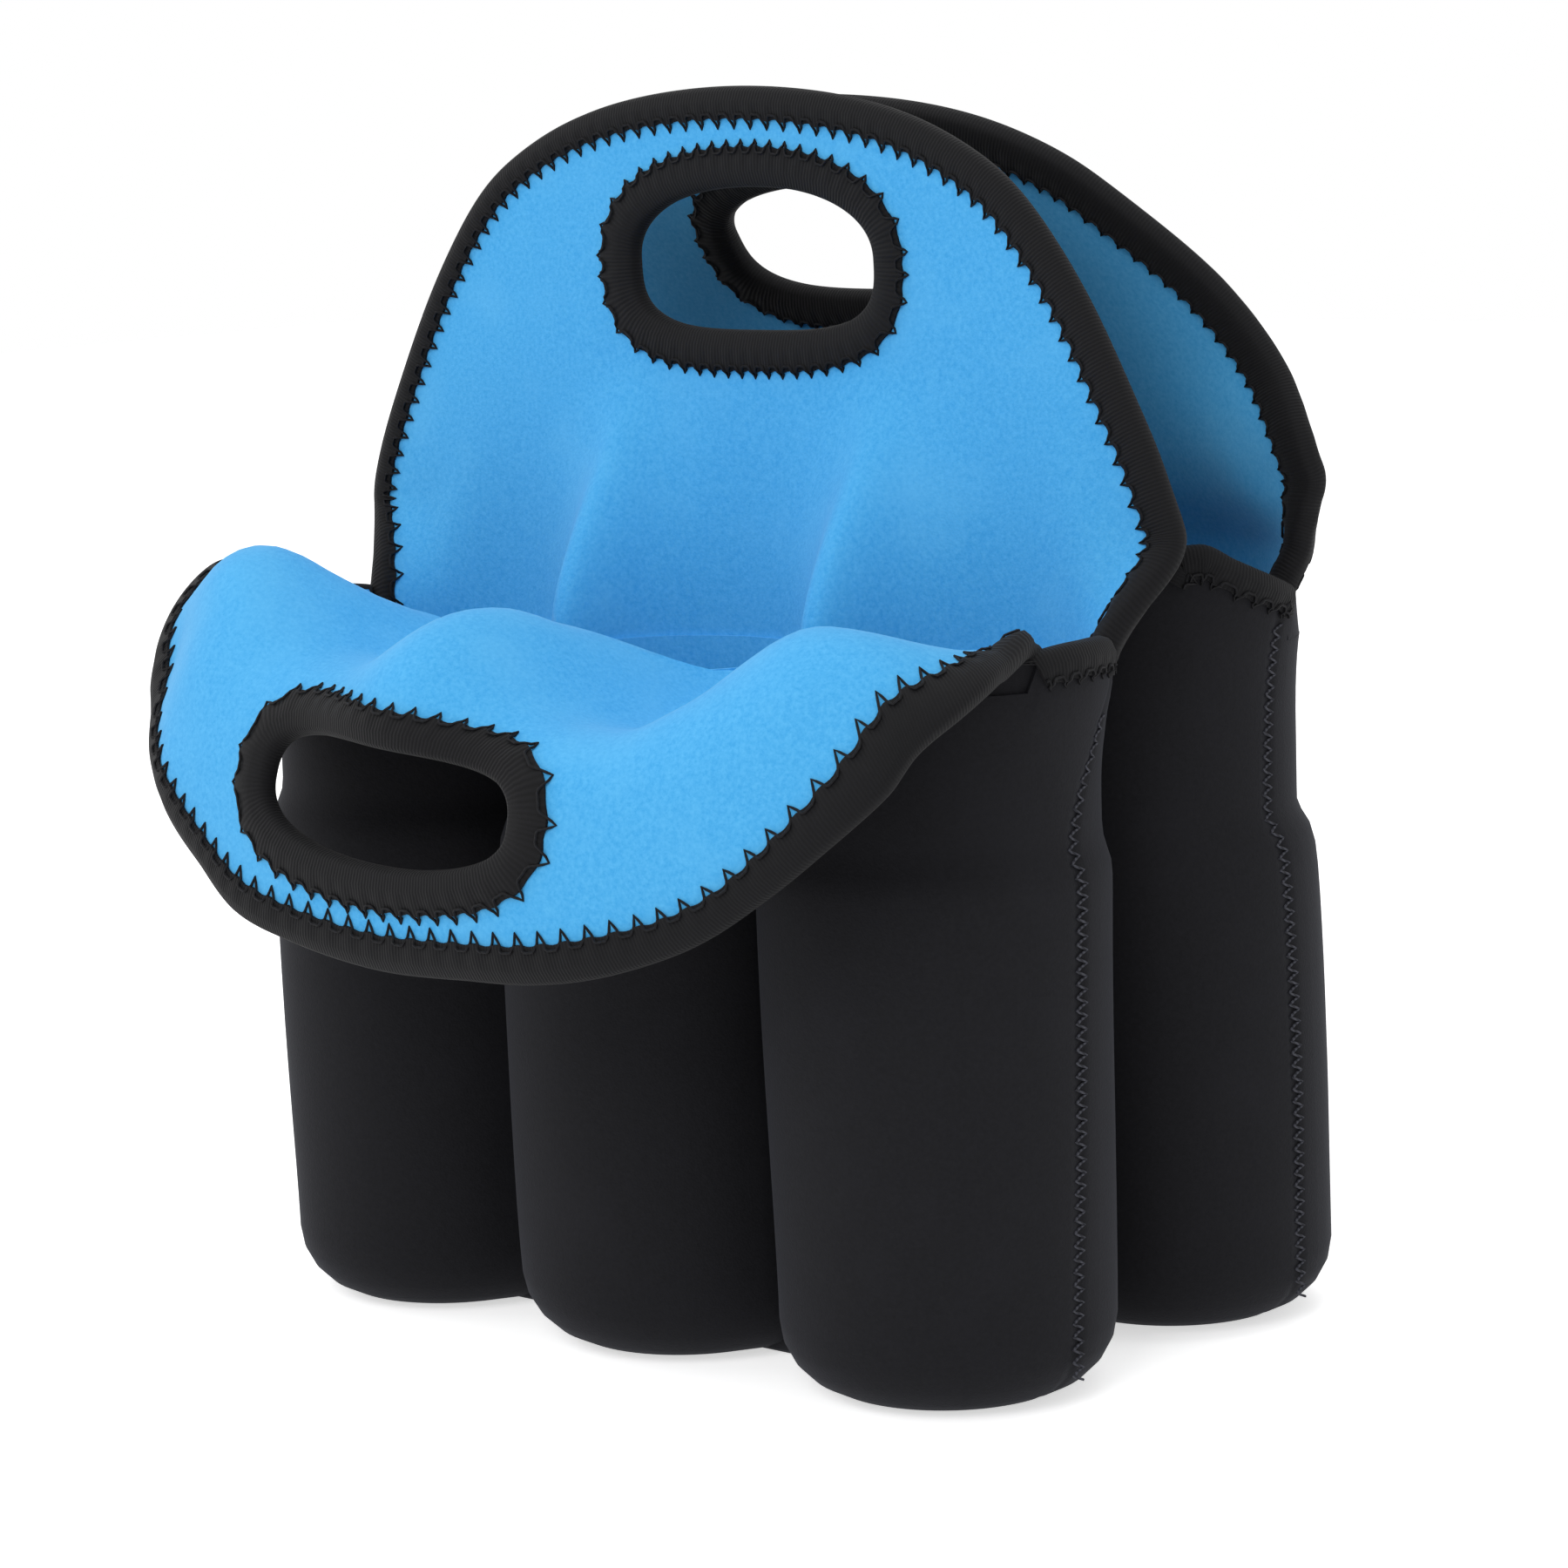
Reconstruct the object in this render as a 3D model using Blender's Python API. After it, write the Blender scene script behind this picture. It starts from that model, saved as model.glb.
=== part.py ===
# Six-pocket insulated carrier: two banks of three round pockets and three hand-slot flaps.
# X runs across the three pockets, Y from the front bank to the rear one, Z up.
# The origin lies under the front bank's middle pocket, on the face it stands on.
import math

import bmesh
import bpy
from mathutils import Matrix, Vector

# Sheet: black foam shell with a blue jersey lining
shell_thickness = 0.0030
lining_thickness = 0.0007
seat_gap = 0.0003
sheet_thickness = shell_thickness + seat_gap + lining_thickness

# Pockets
pocket_pitch = 0.073
pocket_radius = 0.035
pocket_height = 0.153
bottom_rounding = 0.014
web_thickness = 0.0060
web_bite = 0.0012
flange_thickness = 0.0030
bank_gap = 0.0006
rear_bank_shift = 0.008
pocket_segments = 32
rounding_steps = 3

# Flaps
flap_half_width = 0.1175
flap_widest = 0.096
flap_neck = 0.0215
flap_neck_run = 0.025
flap_roundness = 1.85
middle_flap_length = 0.1165
rear_flap_length = 0.128
front_flap_drop = 0.0620
fold_radius = 0.0265
fold_step = math.radians(60)
fold_front = 0.0025
rear_lean = math.radians(25)
side_steps = 5
crown_steps = 14

# Hinge lines
roll_radius = 0.00185
roll_bite = 0.00035
roll_sides = 12
start_gap = 0.00035
rear_start = 0.0009

# Hand slots
slot_half_length = 0.034
slot_half_height = 0.0155
front_slot_half_height = 0.0130
slot_top_roundness = 2.2
slot_bottom_roundness = 3.2
slot_from_edge = 0.038
slot_points = 28

# Binding tape and thread
tape_thickness = 0.0008
tape_leg = 0.007
tape_hinge_gap = 0.0024
thread_width = 0.0020
thread_thickness = 0.0004
seam_width = 0.0032
divider_stitch_width = 0.0012
saddle_half_angle = math.radians(33)
saddle_steps = 10
sharp_angle = math.radians(35)

# Flange outline at the mouths
flange_half_width = 0.100
flange_shoulder = 0.022
flange_back_half_width = 0.097
mouth_lining_half_width = 0.096
mouth_lining_back_half_width = 0.064
mouth_lining_back = 0.0295
join_tape_half_width = 0.095
join_tape_width = 0.0028

lining_inner = pocket_radius - sheet_thickness
lining_outer = lining_inner + lining_thickness
shell_inner = pocket_radius - shell_thickness
sheet_middle = pocket_radius - sheet_thickness / 2
rear_bank_y = 2 * pocket_radius + bank_gap
pocket_columns = {"left": -pocket_pitch, "middle": 0.0, "right": pocket_pitch}
tape_outset = seat_gap + tape_thickness
half_sheet = sheet_thickness / 2
mouth_top = pocket_height + seat_gap + lining_thickness
plate_start = roll_radius + start_gap

# Joint places, in the YZ plane
roll_z = pocket_height + roll_radius - roll_bite
front_roll_y = -(pocket_radius + fold_front)
fold_centre_y = front_roll_y - fold_radius * math.cos(fold_step / 2)
fold_centre_z = roll_z - fold_radius * math.sin(fold_step / 2)
pivots = {
    "front_fold_lower": Vector((0, front_roll_y, roll_z)),
    "front_fold_upper": Vector((0, fold_centre_y, fold_centre_z + fold_radius)),
    "front_flap": Vector((0, 2 * fold_centre_y - front_roll_y, roll_z)),
    "middle_flap": Vector((0, sheet_middle, roll_z)),
    "rear_bank": Vector((0, pocket_radius + bank_gap / 2, pocket_height + seat_gap)),
    "rear_flap": Vector((0, rear_bank_y + pocket_radius + seat_gap, mouth_top + seat_gap)),
}
bodies = {}
materials = {}


def clear_scene():
    for item in list(bpy.data.objects):
        bpy.data.objects.remove(item, do_unlink=True)


def add_material(name, colour, roughness):
    material = bpy.data.materials.new(name)
    material.use_nodes = True
    shader = material.node_tree.nodes["Principled BSDF"]
    shader.inputs["Base Color"].default_value = (*colour, 1.0)
    shader.inputs["Roughness"].default_value = roughness
    shader.inputs["Metallic"].default_value = 0.0
    material.diffuse_color = (*colour, 1.0)
    materials[name] = material


def add_pivot(name, parent=None):
    empty = bpy.data.objects.new(name + "_pivot", None)
    bpy.context.collection.objects.link(empty)
    empty.location = pivots[name]
    if parent:
        empty.parent = bodies[parent]
        empty.location = pivots[name] - pivots[parent]
    bodies[name] = empty


def add_object(name, bm, material, body=None):
    bmesh.ops.recalc_face_normals(bm, faces=bm.faces)
    mesh = bpy.data.meshes.new(name)
    bm.to_mesh(mesh)
    bm.free()
    mesh.materials.append(materials[material])
    mesh.shade_smooth()
    mesh.set_sharp_from_angle(angle=sharp_angle)
    item = bpy.data.objects.new(name, mesh)
    bpy.context.collection.objects.link(item)
    if body:
        item.parent = bodies[body]
        item.location = -pivots[body]
    return item


def as_tool(item):
    item.hide_render = True
    item.display_type = "WIRE"


def add_boolean(item, tool, operation):
    modifier = item.modifiers.new(operation.lower(), "BOOLEAN")
    modifier.operation = operation
    modifier.solver = "EXACT"
    modifier.object = tool
    as_tool(tool)


def turned(profile, x, y):
    # The profile is a closed loop of (radius, height) that may touch the axis
    bm = bmesh.new()
    rings = []
    for radius, height in profile:
        if radius == 0:
            rings.append([bm.verts.new((x, y, height))])
            continue
        ring = []
        for index in range(pocket_segments):
            angle = 2 * math.pi * index / pocket_segments
            place = (x + radius * math.cos(angle), y + radius * math.sin(angle), height)
            ring.append(bm.verts.new(place))
        rings.append(ring)
    for lower, upper in zip(rings, rings[1:]):
        for index in range(pocket_segments):
            after = (index + 1) % pocket_segments
            if len(lower) == 1:
                bm.faces.new((lower[0], upper[index], upper[after]))
            elif len(upper) == 1:
                bm.faces.new((lower[index], lower[after], upper[0]))
            else:
                bm.faces.new((lower[index], lower[after], upper[after], upper[index]))
    return bm


def cup_side(radius, top):
    # One face of a pocket wall, from the axis out round the bottom edge and up
    floor = pocket_radius - radius
    rounding = bottom_rounding - floor
    points = [(0.0, floor)]
    for index in range(rounding_steps + 1):
        angle = math.pi / 2 * index / rounding_steps
        reach = radius - rounding + rounding * math.sin(angle)
        points.append((reach, floor + rounding - rounding * math.cos(angle)))
    points.append((radius, top))
    return points


def cup(outer, inner, top, x, y):
    return turned(cup_side(outer, top) + cup_side(inner, top)[::-1], x, y)


def extruded(loops, low, high):
    # A flat outline with any holes, filled and raised from low to high
    bm = bmesh.new()
    edges = []
    for loop in loops:
        verts = [bm.verts.new((x, y, low)) for x, y in loop]
        for first, second in zip(verts, verts[1:] + verts[:1]):
            edges.append(bm.edges.new((first, second)))
    bmesh.ops.triangle_fill(bm, edges=edges, use_beauty=True)
    raised = bmesh.ops.extrude_face_region(bm, geom=bm.faces[:])
    verts = [item for item in raised["geom"] if isinstance(item, bmesh.types.BMVert)]
    bmesh.ops.translate(bm, verts=verts, vec=(0, 0, high - low))
    return bm


def swept(stations, section, closed=False):
    # Each station is a point with the two axes that the section is drawn on
    bm = bmesh.new()
    rings = []
    for point, along, across in stations:
        rings.append([bm.verts.new(point + along * a + across * b) for a, b in section])
    pairs = list(zip(rings, rings[1:]))
    if closed:
        pairs.append((rings[-1], rings[0]))
    for ring, after in pairs:
        for index in range(len(section)):
            step = (index + 1) % len(section)
            bm.faces.new((ring[index], ring[step], after[step], after[index]))
    if not closed:
        bm.faces.new(rings[0])
        bm.faces.new(rings[-1])
    return bm


def rectangle(low_a, high_a, low_b, high_b):
    return [(low_a, low_b), (high_a, low_b), (high_a, high_b), (low_a, high_b)]


def tape_section():
    # The binding's U: its floor outside the sheet's edge, its legs down both faces
    inside = half_sheet + seat_gap
    outside = inside + tape_thickness
    leg = [(tape_leg, outside), (-tape_outset, outside), (-tape_outset, -outside), (tape_leg, -outside)]
    return leg + [(tape_leg, -inside), (-seat_gap, -inside), (-seat_gap, inside), (tape_leg, inside)]


def stitch_section():
    # The thread lies on the blue face, just inside the binding's leg
    near = tape_leg + seat_gap
    low = half_sheet + seat_gap
    return rectangle(near, near + thread_width, low, low + thread_thickness)


def joined(parts):
    # Several closed bodies of one node
    bm = bmesh.new()
    for part in parts:
        mesh = bpy.data.meshes.new("part")
        part.to_mesh(mesh)
        part.free()
        bm.from_mesh(mesh)
        bpy.data.meshes.remove(mesh)
    return bm


def flange_outline(y, depth_front, depth_back, front_half_width, back_half_width):
    right = [(front_half_width, y - depth_front), (flange_half_width, y - flange_shoulder),
             (flange_half_width, y + flange_shoulder), (back_half_width, y + depth_back)]
    return right + [(-x, place) for x, place in right[::-1]]


def make_bank(bank, y, depth_front, depth_back, front_half_width, back_half_width, body):
    shells = [cup(pocket_radius, shell_inner, pocket_height, x, y) for x in pocket_columns.values()]
    names = list(pocket_columns)
    bank_shell = add_object(bank + "_bank_shell", shells[0], "neoprene", body)
    for name, shell in zip(names[1:], shells[1:]):
        cup_tool = add_object(bank + "_" + name + "_cup_tool", shell, "neoprene", body)
        add_boolean(bank_shell, cup_tool, "UNION")
    half_web = pocket_pitch / 2 - pocket_radius + web_bite
    web_low = y - web_thickness / 2
    for sign in (-1, 1):
        middle = sign * pocket_pitch / 2
        outline = rectangle(middle - half_web, middle + half_web, web_low, web_low + web_thickness)
        web = extruded([outline], bottom_rounding, pocket_height)
        add_boolean(bank_shell, add_object(bank + "_web_tool", web, "neoprene", body), "UNION")
    outline = flange_outline(y, depth_front, depth_back, front_half_width, back_half_width)
    flange = extruded([outline], pocket_height - flange_thickness, pocket_height)
    add_boolean(bank_shell, add_object(bank + "_flange_tool", flange, "neoprene", body), "UNION")
    bores = joined([mouth_bore(x, y, shell_inner) for x in pocket_columns.values()])
    add_boolean(bank_shell, add_object(bank + "_bore_tool", bores, "neoprene", body), "DIFFERENCE")
    for name, x in pocket_columns.items():
        lining = cup(lining_outer, lining_inner, pocket_height, x, y)
        add_object(bank + "_" + name + "_pocket_lining", lining, "lining", body)
    make_seams(bank, y, 1 if body else -1, body)
    return bank_shell


def mouth_bore(x, y, radius):
    # A cutter that clears a pocket's bore through whatever crosses its mouth
    depth = 2 * flange_thickness
    low = pocket_height - depth
    high = mouth_top + depth
    return turned([(0, low), (radius, low), (radius, high), (0, high)], x, y)


def make_mouth_lining(name, outline, y, body):
    # The lining that spreads from the pockets' rims to the flap's hinge line
    lining = add_object(name, extruded([outline], pocket_height + seat_gap, mouth_top), "lining", body)
    bores = joined([mouth_bore(x, y, lining_inner) for x in pocket_columns.values()])
    add_boolean(lining, add_object(name + "_tool", bores, "lining", body), "DIFFERENCE")


def make_mouth_linings():
    front = front_roll_y + roll_radius + seat_gap
    right = [(mouth_lining_half_width, front), (mouth_lining_half_width, -flange_shoulder),
             (mouth_lining_back_half_width, mouth_lining_back)]
    outline = right + [(-x, place) for x, place in right[::-1]]
    make_mouth_lining("front_mouth_lining", outline, 0.0, None)
    near = pocket_pitch / 2 - mouth_lining_back
    far = pocket_pitch / 2 + mouth_lining_back
    low = rear_bank_y - mouth_lining_back
    high = rear_bank_y + mouth_lining_back
    for side, left_edge in (("left", -far), ("right", near)):
        outline = rectangle(left_edge, left_edge + far - near, low, high)
        make_mouth_lining("rear_" + side + "_mouth_lining", outline, rear_bank_y, "rear_bank")


def make_seams(bank, y, outer_face, body):
    across = Vector((0, 1, 0))
    low = seat_gap
    for side, sign in (("left", -1), ("right", 1)):
        centre = Vector((sign * pocket_pitch, y, 0))
        stations = []
        for radius, height in cup_side(pocket_radius, pocket_height - tape_leg - seat_gap)[2:]:
            point = centre + Vector((sign * radius, 0, height))
            lean = min(1.0, max(0.0, (bottom_rounding - height) / bottom_rounding))
            outward = Vector((sign * math.sqrt(1 - lean * lean), 0, -lean))
            stations.append((point, across, outward))
        section = rectangle(-seam_width / 2, seam_width / 2, low, low + thread_thickness)
        add_object(bank + "_" + side + "_side_seam", swept(stations, section), "thread", body)
        middle = sign * pocket_pitch / 2
        half = divider_stitch_width / 2
        surface = y + outer_face * (web_thickness / 2 + seat_gap)
        line = rectangle(middle - half, middle + half, surface, surface + outer_face * thread_thickness)
        stitch = extruded([line], 2 * bottom_rounding, pocket_height - 2 * flange_thickness)
        add_object(bank + "_" + side + "_divider_seam", stitch, "thread", body)
        stations = []
        for index in range(saddle_steps + 1):
            angle = saddle_half_angle * (2 * index / saddle_steps - 1)
            outward = Vector((sign * math.cos(angle), math.sin(angle), 0))
            top = Vector((0, 0, pocket_height))
            stations.append((centre + outward * sheet_middle + top, Vector((0, 0, -1)), outward))
        add_object(bank + "_" + side + "_saddle_binding", swept(stations, tape_section()), "tape", body)


def half_width(from_end):
    # The flap's outline: a rounded crown, then a neck that draws in to the saddle notch
    if from_end > flap_widest:
        return flap_half_width - flap_neck * ((from_end - flap_widest) / flap_neck_run) ** 2
    share = (flap_widest - from_end) / flap_widest
    return flap_half_width * math.sqrt(max(0.0, 1 - share ** flap_roundness))


def edge_places(length, start, stop):
    # Distances from the hinge line at which the outline has a point
    places = []
    crown_start = length - flap_widest
    low_stop = min(stop, crown_start)
    if start < crown_start:
        places += [start + (low_stop - start) * index / side_steps for index in range(side_steps + 1)]
    if stop > crown_start:
        first = math.asin(min(1.0, max(0.0, (start - crown_start) / flap_widest)) ** (flap_roundness / 2))
        last = math.asin(min(1.0, (stop - crown_start) / flap_widest) ** (flap_roundness / 2))
        steps = max(2, round(crown_steps * (last - first) / (math.pi / 2)))
        angles = [first + (last - first) * index / steps for index in range(1 if places else 0, steps + 1)]
        places += [crown_start + flap_widest * math.sin(angle) ** (2 / flap_roundness) for angle in angles]
    return places


def edge_points(length, start, stop):
    # Outer edge points of the right side with their inward normals, drawn flat
    places = edge_places(length, start, stop)
    points = [Vector((half_width(length - place), place)) for place in places]
    if stop == length:
        points[-1].x = 0.0
    normals = []
    for index, point in enumerate(points):
        before = points[max(0, index - 1)]
        after = points[min(len(points) - 1, index + 1)]
        run = (after - before).normalized()
        if point.x == 0:
            normals.append(Vector((0, -1)))
        elif index in (0, len(points) - 1):
            normals.append(Vector((-1, 0)))
        else:
            normals.append(Vector((-run.y, run.x)))
    return points, normals


def sheet_edge(length, start, stop):
    # The sheet ends inside the binding's floor
    points, normals = edge_points(length, start, stop)
    return [point + normal * tape_outset for point, normal in zip(points, normals)], normals


def mirrored(point):
    return Vector((-point.x, point.y))


def both_sides(items, crowned):
    # The right side's points or normals, then the left side's, which share a crown's middle
    return items + [mirrored(item) for item in (items[-2::-1] if crowned else items[::-1])]


def slot_loop(centre, half_height):
    # Points of the sheet's cut edge and their outward normals, drawn flat
    rim = []
    for index in range(slot_points):
        angle = 2 * math.pi * index / slot_points
        roundness = slot_top_roundness if math.sin(angle) > 0 else slot_bottom_roundness
        across = math.copysign(abs(math.cos(angle)) ** (2 / roundness), math.cos(angle))
        along = math.copysign(abs(math.sin(angle)) ** (2 / roundness), math.sin(angle))
        rim.append(Vector((slot_half_length * across, centre + half_height * along)))
    normals = []
    for index in range(slot_points):
        run = (rim[(index + 1) % slot_points] - rim[index - 1]).normalized()
        normals.append(Vector((run.y, -run.x)))
    return [point + normal * tape_outset for point, normal in zip(rim, normals)], normals


def placed(pivot, bend, blue_side, lift=0.0):
    # Flat coordinates (across, along, towards the blue face) set on a plate leaning by bend
    along = Vector((0, -math.sin(bend), math.cos(bend)))
    blue = Vector((0, math.cos(bend), math.sin(bend))) * blue_side
    origin = pivot + blue * lift
    return Matrix((
        (1, along.x, blue.x, origin.x),
        (0, along.y, blue.y, origin.y),
        (0, along.z, blue.z, origin.z),
        (0, 0, 0, 1),
    ))


def stations_on(points, normals):
    up = Vector((0, 0, 1))
    return [(point.to_3d(), normal.to_3d(), up) for point, normal in zip(points, normals)]


def add_plate(name, bm, matrix, material, body):
    bmesh.ops.transform(bm, matrix=matrix, verts=bm.verts)
    return add_object(name, bm, material, body)


def plate_loops(length, start, stop, slot_height):
    loops = [both_sides(sheet_edge(length, start, stop)[0], stop == length)]
    if slot_height:
        loops.append(slot_loop(length - slot_from_edge, slot_height)[0])
    return loops


def roll(half_length, y, z):
    # A rounded bead along X that a hinge line turns on
    bm = bmesh.new()
    matrix = Matrix.Translation((0, y, z)) @ Matrix.Rotation(math.pi / 2, 4, "Y")
    bmesh.ops.create_cone(bm, cap_ends=True, segments=roll_sides, radius1=roll_radius,
                          radius2=roll_radius, depth=2 * half_length, matrix=matrix)
    return bm


def make_sheet(name, matrix, length, start, stop, offset, slot_height=0.0, roll_at_end=False):
    # The black shell and blue lining of one stiff stretch of a flap
    loops = shifted(plate_loops(length, start, stop, slot_height), offset)
    black = extruded(loops, -half_sheet, shell_thickness - half_sheet)
    shell = add_plate(name + "_shell", black, matrix, "neoprene", name)
    lining_stop = stop
    if roll_at_end:
        half = half_width(length - stop) - tape_outset
        bead = roll(half, stop - offset, 0)
        add_boolean(shell, add_plate(name + "_roll_tool", bead, matrix, "neoprene", name), "UNION")
        chord = math.sqrt(roll_radius ** 2 - (half_sheet - lining_thickness) ** 2)
        lining_stop = stop - chord - seat_gap
    loops = shifted(plate_loops(length, start, lining_stop, slot_height), offset)
    blue = extruded(loops, half_sheet - lining_thickness, half_sheet)
    add_plate(name + "_lining", blue, matrix, "lining", name)


def shifted(loops, offset):
    return [[Vector((point.x, point.y - offset)) for point in loop] for loop in loops]


def make_side_binding(name, matrix, length, start, stop, offset):
    # Short tapes on both side edges of a fold strip
    points, normals = sheet_edge(length, start, stop)
    for side in ("left", "right"):
        places = [mirrored(point) if side == "left" else point for point in points]
        inward = [mirrored(normal) if side == "left" else normal for normal in normals]
        places = [Vector((point.x, point.y - offset)) for point in places]
        tape = swept(stations_on(places, inward), tape_section())
        add_plate(name + "_" + side + "_binding", tape, matrix, "tape", name)


def make_flap_trim(name, matrix, length, start, offset, slot_height):
    # Edge binding, slot binding and the thread beside both
    points, normals = sheet_edge(length, start, length)
    places = [Vector((point.x, point.y - offset)) for point in both_sides(points, True)]
    edge = stations_on(places, both_sides(normals, True))
    add_plate(name + "_edge_binding", swept(edge, tape_section()), matrix, "tape", name)
    slot = stations_on(*slot_loop(length - slot_from_edge - offset, slot_height))
    tape = swept(slot, tape_section(), closed=True)
    add_plate(name + "_slot_binding", tape, matrix, "tape", name)
    add_plate(name + "_edge_stitching", swept(edge, stitch_section()), matrix, "thread", name)
    thread = swept(slot, stitch_section(), closed=True)
    add_plate(name + "_slot_stitching", thread, matrix, "thread", name)


def make_front_flap():
    # The broad fold is two stiff strips, and the flap hangs from them
    strip = fold_radius
    length = 2 * strip + front_flap_drop
    for index, name in enumerate(("front_fold_lower", "front_fold_upper")):
        matrix = placed(pivots[name], fold_step * (index + 1), 1)
        offset = index * strip
        stop = offset + strip
        make_sheet(name, matrix, length, offset + plate_start, stop, offset, roll_at_end=True)
        make_side_binding(name, matrix, length, offset + tape_hinge_gap, stop - tape_hinge_gap, offset)
    matrix = placed(pivots["front_flap"], 3 * fold_step, 1)
    offset = 2 * strip
    height = front_slot_half_height
    make_sheet("front_flap", matrix, length, offset + plate_start, length, offset, height)
    make_flap_trim("front_flap", matrix, length, offset + tape_hinge_gap, offset, height)


def make_upright_flap(name, length, bend, start, lift):
    matrix = placed(pivots[name], bend, -1, lift)
    make_sheet(name, matrix, length, start, length, 0, slot_half_height)
    make_flap_trim(name, matrix, length, start + seat_gap, 0, slot_half_height)


def slant_rear_bank():
    # The cuts are made first, then every piece of the bank leans back towards its bottom
    bpy.context.view_layer.update()
    depsgraph = bpy.context.evaluated_depsgraph_get()
    pieces = [item for item in bodies["rear_bank"].children if item.type == "MESH"]
    tools = [item for item in pieces if item.hide_render]
    cut = {item: bpy.data.meshes.new_from_object(item.evaluated_get(depsgraph))
           for item in pieces if item.modifiers}
    slope = rear_bank_shift / pocket_height
    slant = Matrix(((1, 0, 0, 0), (0, 1, -slope, rear_bank_shift), (0, 0, 1, 0), (0, 0, 0, 1)))
    for item, mesh in cut.items():
        item.modifiers.clear()
        item.data = mesh
    for item in tools:
        bpy.data.objects.remove(item)
    for item in bodies["rear_bank"].children:
        if item.type == "MESH":
            item.data.transform(slant)


def make_part():
    clear_scene()
    add_material("neoprene", (0.012, 0.012, 0.015), 0.85)
    add_material("lining", (0.050, 0.370, 0.830), 0.80)
    add_material("tape", (0.010, 0.010, 0.011), 0.75)
    add_material("thread", (0.055, 0.057, 0.065), 0.60)
    add_pivot("front_fold_lower")
    add_pivot("front_fold_upper", "front_fold_lower")
    add_pivot("front_flap", "front_fold_upper")
    add_pivot("middle_flap")
    add_pivot("rear_bank")
    add_pivot("rear_flap", "rear_bank")
    reach = pocket_radius + fold_front + roll_radius
    back = flange_back_half_width
    shell = make_bank("front", 0.0, reach, pocket_radius, flange_half_width, back, None)
    for y, half in ((front_roll_y, flange_half_width), (sheet_middle, back)):
        tool = add_object("front_roll_tool", roll(half - seat_gap, y, roll_z), "neoprene")
        add_boolean(shell, tool, "UNION")
    make_bank("rear", rear_bank_y, pocket_radius, pocket_radius, back, back, "rear_bank")
    make_mouth_linings()
    near = rear_bank_y - pocket_radius + 2 * seat_gap
    outline = rectangle(-join_tape_half_width, join_tape_half_width, near, near + join_tape_width)
    join = extruded([outline], pocket_height + seat_gap, mouth_top)
    add_object("bank_join_tape", join, "tape", "rear_bank")
    make_front_flap()
    make_upright_flap("middle_flap", middle_flap_length, 0.0, plate_start, 0.0)
    make_upright_flap("rear_flap", rear_flap_length, rear_lean, rear_start, half_sheet + seat_gap)
    slant_rear_bank()


make_part()
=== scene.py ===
import math

import bmesh
import bpy
import numpy as np
from mathutils import Matrix, Vector
from mathutils.geometry import delaunay_2d_cdt


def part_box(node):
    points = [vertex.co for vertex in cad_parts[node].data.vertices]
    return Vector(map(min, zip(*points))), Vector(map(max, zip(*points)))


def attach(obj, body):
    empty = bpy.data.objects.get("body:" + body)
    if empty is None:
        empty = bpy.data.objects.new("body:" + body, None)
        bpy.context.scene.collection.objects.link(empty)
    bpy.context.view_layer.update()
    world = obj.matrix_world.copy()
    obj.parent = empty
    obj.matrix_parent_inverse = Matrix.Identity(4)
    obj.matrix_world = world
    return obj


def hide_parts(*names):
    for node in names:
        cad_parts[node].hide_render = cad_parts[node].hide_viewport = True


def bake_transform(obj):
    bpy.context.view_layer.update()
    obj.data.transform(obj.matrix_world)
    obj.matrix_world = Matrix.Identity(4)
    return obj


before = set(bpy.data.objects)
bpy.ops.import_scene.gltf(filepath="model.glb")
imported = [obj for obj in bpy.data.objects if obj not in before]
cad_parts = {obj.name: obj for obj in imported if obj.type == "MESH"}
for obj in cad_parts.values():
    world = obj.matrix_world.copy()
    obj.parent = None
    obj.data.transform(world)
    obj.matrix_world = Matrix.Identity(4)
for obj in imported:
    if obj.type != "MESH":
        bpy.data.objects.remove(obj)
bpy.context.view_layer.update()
mm = 0.001
print("frame loaded")

camera = {
    "place": (690.59, -749.96, 280.34),   # mm
    "azimuth": 42.64, "elevation": 7.69, "roll": -2.09,   # degrees
    "focalPixels": 5447.5, "imagePixels": 1800, "sensor": 36.0,
    "axisPixel": (767.07, 788.42),        # where the optical axis meets the image
}


def placeCamera(c):
    around, up, roll = (math.radians(c[k]) for k in ("azimuth", "elevation", "roll"))
    back = Vector((math.sin(around) * math.cos(up), -math.cos(around) * math.cos(up), math.sin(up)))
    right = Vector((math.cos(around), math.sin(around), 0))
    upward = back.cross(right)
    rolledRight = math.cos(roll) * right + math.sin(roll) * upward
    rolledUp = math.cos(roll) * upward - math.sin(roll) * right
    data = bpy.data.cameras.new("camera")
    data.sensor_width = c["sensor"]
    data.lens = c["sensor"] * c["focalPixels"] / c["imagePixels"]
    data.shift_x = 0.5 - c["axisPixel"][0] / c["imagePixels"]
    data.shift_y = c["axisPixel"][1] / c["imagePixels"] - 0.5
    data.clip_start = 0.05
    eye = bpy.data.objects.new("camera", data)
    turn = Matrix((rolledRight, rolledUp, back)).transposed().to_4x4()
    eye.matrix_world = Matrix.Translation(Vector(c["place"]) * mm) @ turn
    bpy.context.collection.objects.link(eye)
    bpy.context.scene.camera = eye


placeCamera(camera)
print("camera placed")


def ease(t):   # from 0 to 1, level at both ends
    t = np.clip(t, 0, 1)
    return t * t * (3 - 2 * t)


def cosOf(degrees):
    return np.cos(np.radians(degrees))


def sinOf(degrees):
    return np.sin(np.radians(degrees))


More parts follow.
